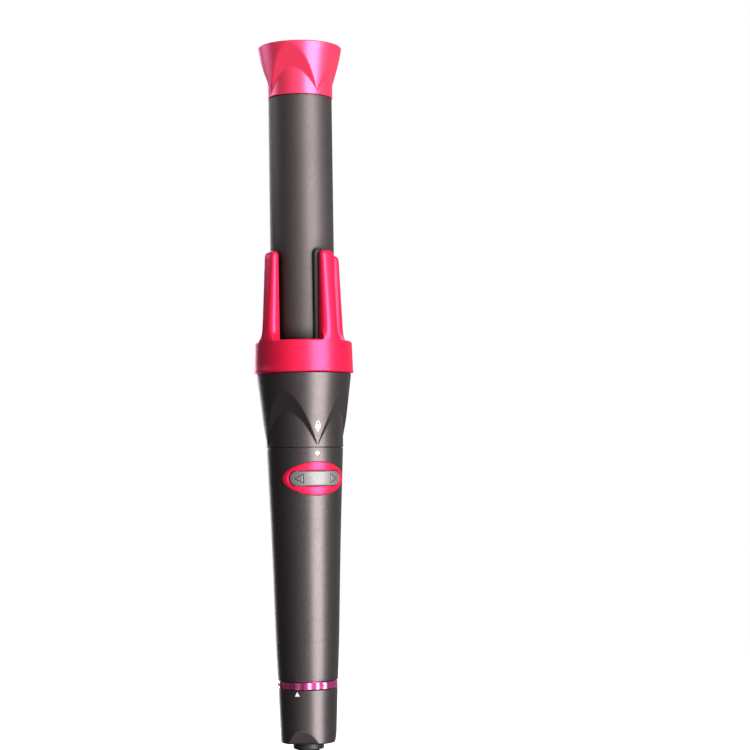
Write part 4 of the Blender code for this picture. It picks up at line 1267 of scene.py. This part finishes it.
def stage_material(name, colour, glow_strength):
    """Pale matt floor with a faint grain; only the camera sees it, so the studio glow also
    lights the piece from below, and it fades out far away."""
    material = bpy.data.materials.new(name)
    material.use_nodes = True
    tree = material.node_tree
    shader = tree.nodes["Principled BSDF"]
    coord = object_coordinates(tree)
    tone = vary(tree, noise(tree, coord, scale=30.0, detail=4.0), 1.0, 0.015)
    base = mix_colour(tree, "MULTIPLY", 1.0, colour, tone)
    tree.links.new(base, shader.inputs["Base Color"])
    shader.inputs["Roughness"].default_value = 0.75
    shader.inputs["Specular IOR Level"].default_value = 0.10
    seen = add_node(tree, "ShaderNodeLightPath").outputs["Is Camera Ray"]
    shader.inputs["Emission Color"].default_value = (1.0, 1.0, 1.0, 1.0)
    tree.links.new(ramp(tree, seen, 0.0, 1.0, 0.0, glow_strength),
                   shader.inputs["Emission Strength"])
    hidden = add_node(tree, "ShaderNodeBsdfTransparent").outputs[0]
    visible = mix_shader(tree, seen, hidden, shader.outputs[0])
    distance = add_node(tree, "ShaderNodeVectorMath", operation="LENGTH")
    tree.links.new(coord, distance.inputs[0])
    fade = ramp(tree, distance.outputs["Value"], 0.30, 1.1, 0.0, 1.0)
    clear = add_node(tree, "ShaderNodeBsdfTransparent").outputs[0]
    tree.links.new(mix_shader(tree, fade, visible, clear),
                   tree.nodes["Material Output"].inputs["Surface"])
    return material


def add_floor():
    bpy.ops.mesh.primitive_circle_add(vertices=96, radius=3.0, fill_type="NGON",
                                      location=(0, 0, CAD_BOX[0][2] - 0.0004))
    floor = bpy.context.object
    floor.name = "floor"
    floor.data.materials.append(
        stage_material("floor_pale", colour=(0.93, 0.93, 0.93), glow_strength=0.60))


add_floor()


# ================================================================= studio world
def around(yaw, distance, z):
    """Point at an angle from the camera's side, positive to the camera's right."""
    turn = math.radians(CAMERA_YAW + yaw)
    return Vector((distance * math.sin(turn), -distance * math.cos(turn), z))


def heading(yaw, z):
    return around(yaw, 1.0, z).normalized()


def glow(tree, direction, centre, power, strength):
    """Strength times the cosine to a direction, raised to a power."""
    dot = add_node(tree, "ShaderNodeVectorMath", operation="DOT_PRODUCT")
    tree.links.new(direction, dot.inputs[0])
    dot.inputs[1].default_value = centre
    facing = calculate(tree, "MAXIMUM", dot.outputs["Value"], 0.0)
    return calculate(tree, "MULTIPLY", calculate(tree, "POWER", facing, power), strength)


def studio():
    """White to the eye; for reflections and light, soft glows and a dim lower side."""
    world = bpy.data.worlds.new("studio")
    bpy.context.scene.world = world
    world.use_nodes = True
    tree = world.node_tree
    background = tree.nodes["Background"]
    direction = add_node(tree, "ShaderNodeTexCoord").outputs["Generated"]
    background.inputs["Color"].default_value = (1.0, 0.985, 0.985, 1.0)
    glows = [
        glow(tree, direction, heading(22.0, 0.05), power=3.0, strength=0.72),     # key side
        glow(tree, direction, heading(125.0, 0.1), power=4.0, strength=0.09),     # far right
        glow(tree, direction, heading(-172.0, 0.1), power=3.0, strength=0.24),    # behind
        glow(tree, direction, Vector((0, 0, 1)), power=2.0, strength=0.25),       # above
    ]
    light = glows[0]
    for part in (*glows[1:], 0.05):
        light = calculate(tree, "ADD", light, part)
    split = add_node(tree, "ShaderNodeSeparateXYZ")
    tree.links.new(direction, split.inputs[0])
    dim_below = ramp(tree, split.outputs["Z"], -0.55, -0.20, 0.06, 1.0)
    tree.links.new(calculate(tree, "MULTIPLY", light, dim_below),
                   background.inputs["Strength"])
    seen = add_node(tree, "ShaderNodeLightPath").outputs["Is Camera Ray"]
    white = add_node(tree, "ShaderNodeBackground")
    white.inputs["Color"].default_value = (1.0, 1.0, 1.0, 1.0)
    white.inputs["Strength"].default_value = 1.0
    tree.links.new(mix_shader(tree, seen, background.outputs[0], white.outputs[0]),
                   tree.nodes["World Output"].inputs["Surface"])


studio()


# ================================================================= lights
def soft_box(name, yaw, z, distance, wide, tall, power, aim=0.22, spread=180.0):
    """A rectangular light round the object, aimed at a height on the axis; power in watts."""
    data = bpy.data.lights.new(name, "AREA")
    data.shape = "RECTANGLE"
    data.size, data.size_y = wide, tall
    data.energy = power
    data.spread = math.radians(spread)
    light = bpy.data.objects.new(name, data)
    light.location = around(yaw, distance, z)
    towards = Vector((0, 0, aim)) - light.location
    light.rotation_euler = towards.to_track_quat("-Z", "Y").to_euler()
    bpy.context.scene.collection.objects.link(light)


soft_box("key_box", yaw=39.5, z=0.30, distance=0.95, wide=0.68, tall=1.45, power=24.0)
soft_box("left_rim", yaw=-108.0, z=0.46, distance=0.45, wide=0.50, tall=0.12, power=0.060,
         aim=0.40, spread=50.0)
soft_box("back_box", yaw=-166.0, z=0.40, distance=1.1, wide=0.80, tall=1.2, power=11.0)
soft_box("low_box", yaw=-8.0, z=-0.20, distance=0.36, wide=0.40, tall=0.14, power=0.35, aim=0.05)
soft_box("far_right", yaw=140.0, z=0.30, distance=1.1, wide=0.5, tall=1.2, power=0.15)

# ================================================================= camera
CAMERA_DISTANCE = 1.0
CAMERA_Z = 0.180
CAMERA_LENS = 91.824                 # focal length in millimetres
AIM_RIGHT = 2.1374912                # degrees the camera turns off the axis
PITCH = 3.12                         # degrees up
ROLL = -0.90                         # degrees


def add_camera():
    data = bpy.data.cameras.new("camera")
    data.sensor_width = 36.0
    data.lens = CAMERA_LENS
    data.clip_start = 0.02
    camera = bpy.data.objects.new("camera", data)
    camera.location = around(0.0, CAMERA_DISTANCE, CAMERA_Z)
    towards = Vector((0, 0, CAMERA_Z)) - camera.location
    look = towards.to_track_quat("-Z", "Y").to_matrix().to_4x4()
    for angle, axis in ((-AIM_RIGHT, "Y"), (PITCH, "X"), (ROLL, "Z")):
        look = look @ Matrix.Rotation(math.radians(angle), 4, axis)
    camera.matrix_world = Matrix.Translation(camera.location) @ look
    bpy.context.scene.collection.objects.link(camera)
    bpy.context.scene.camera = camera


add_camera()
bpy.context.scene.view_settings.view_transform = "Standard"
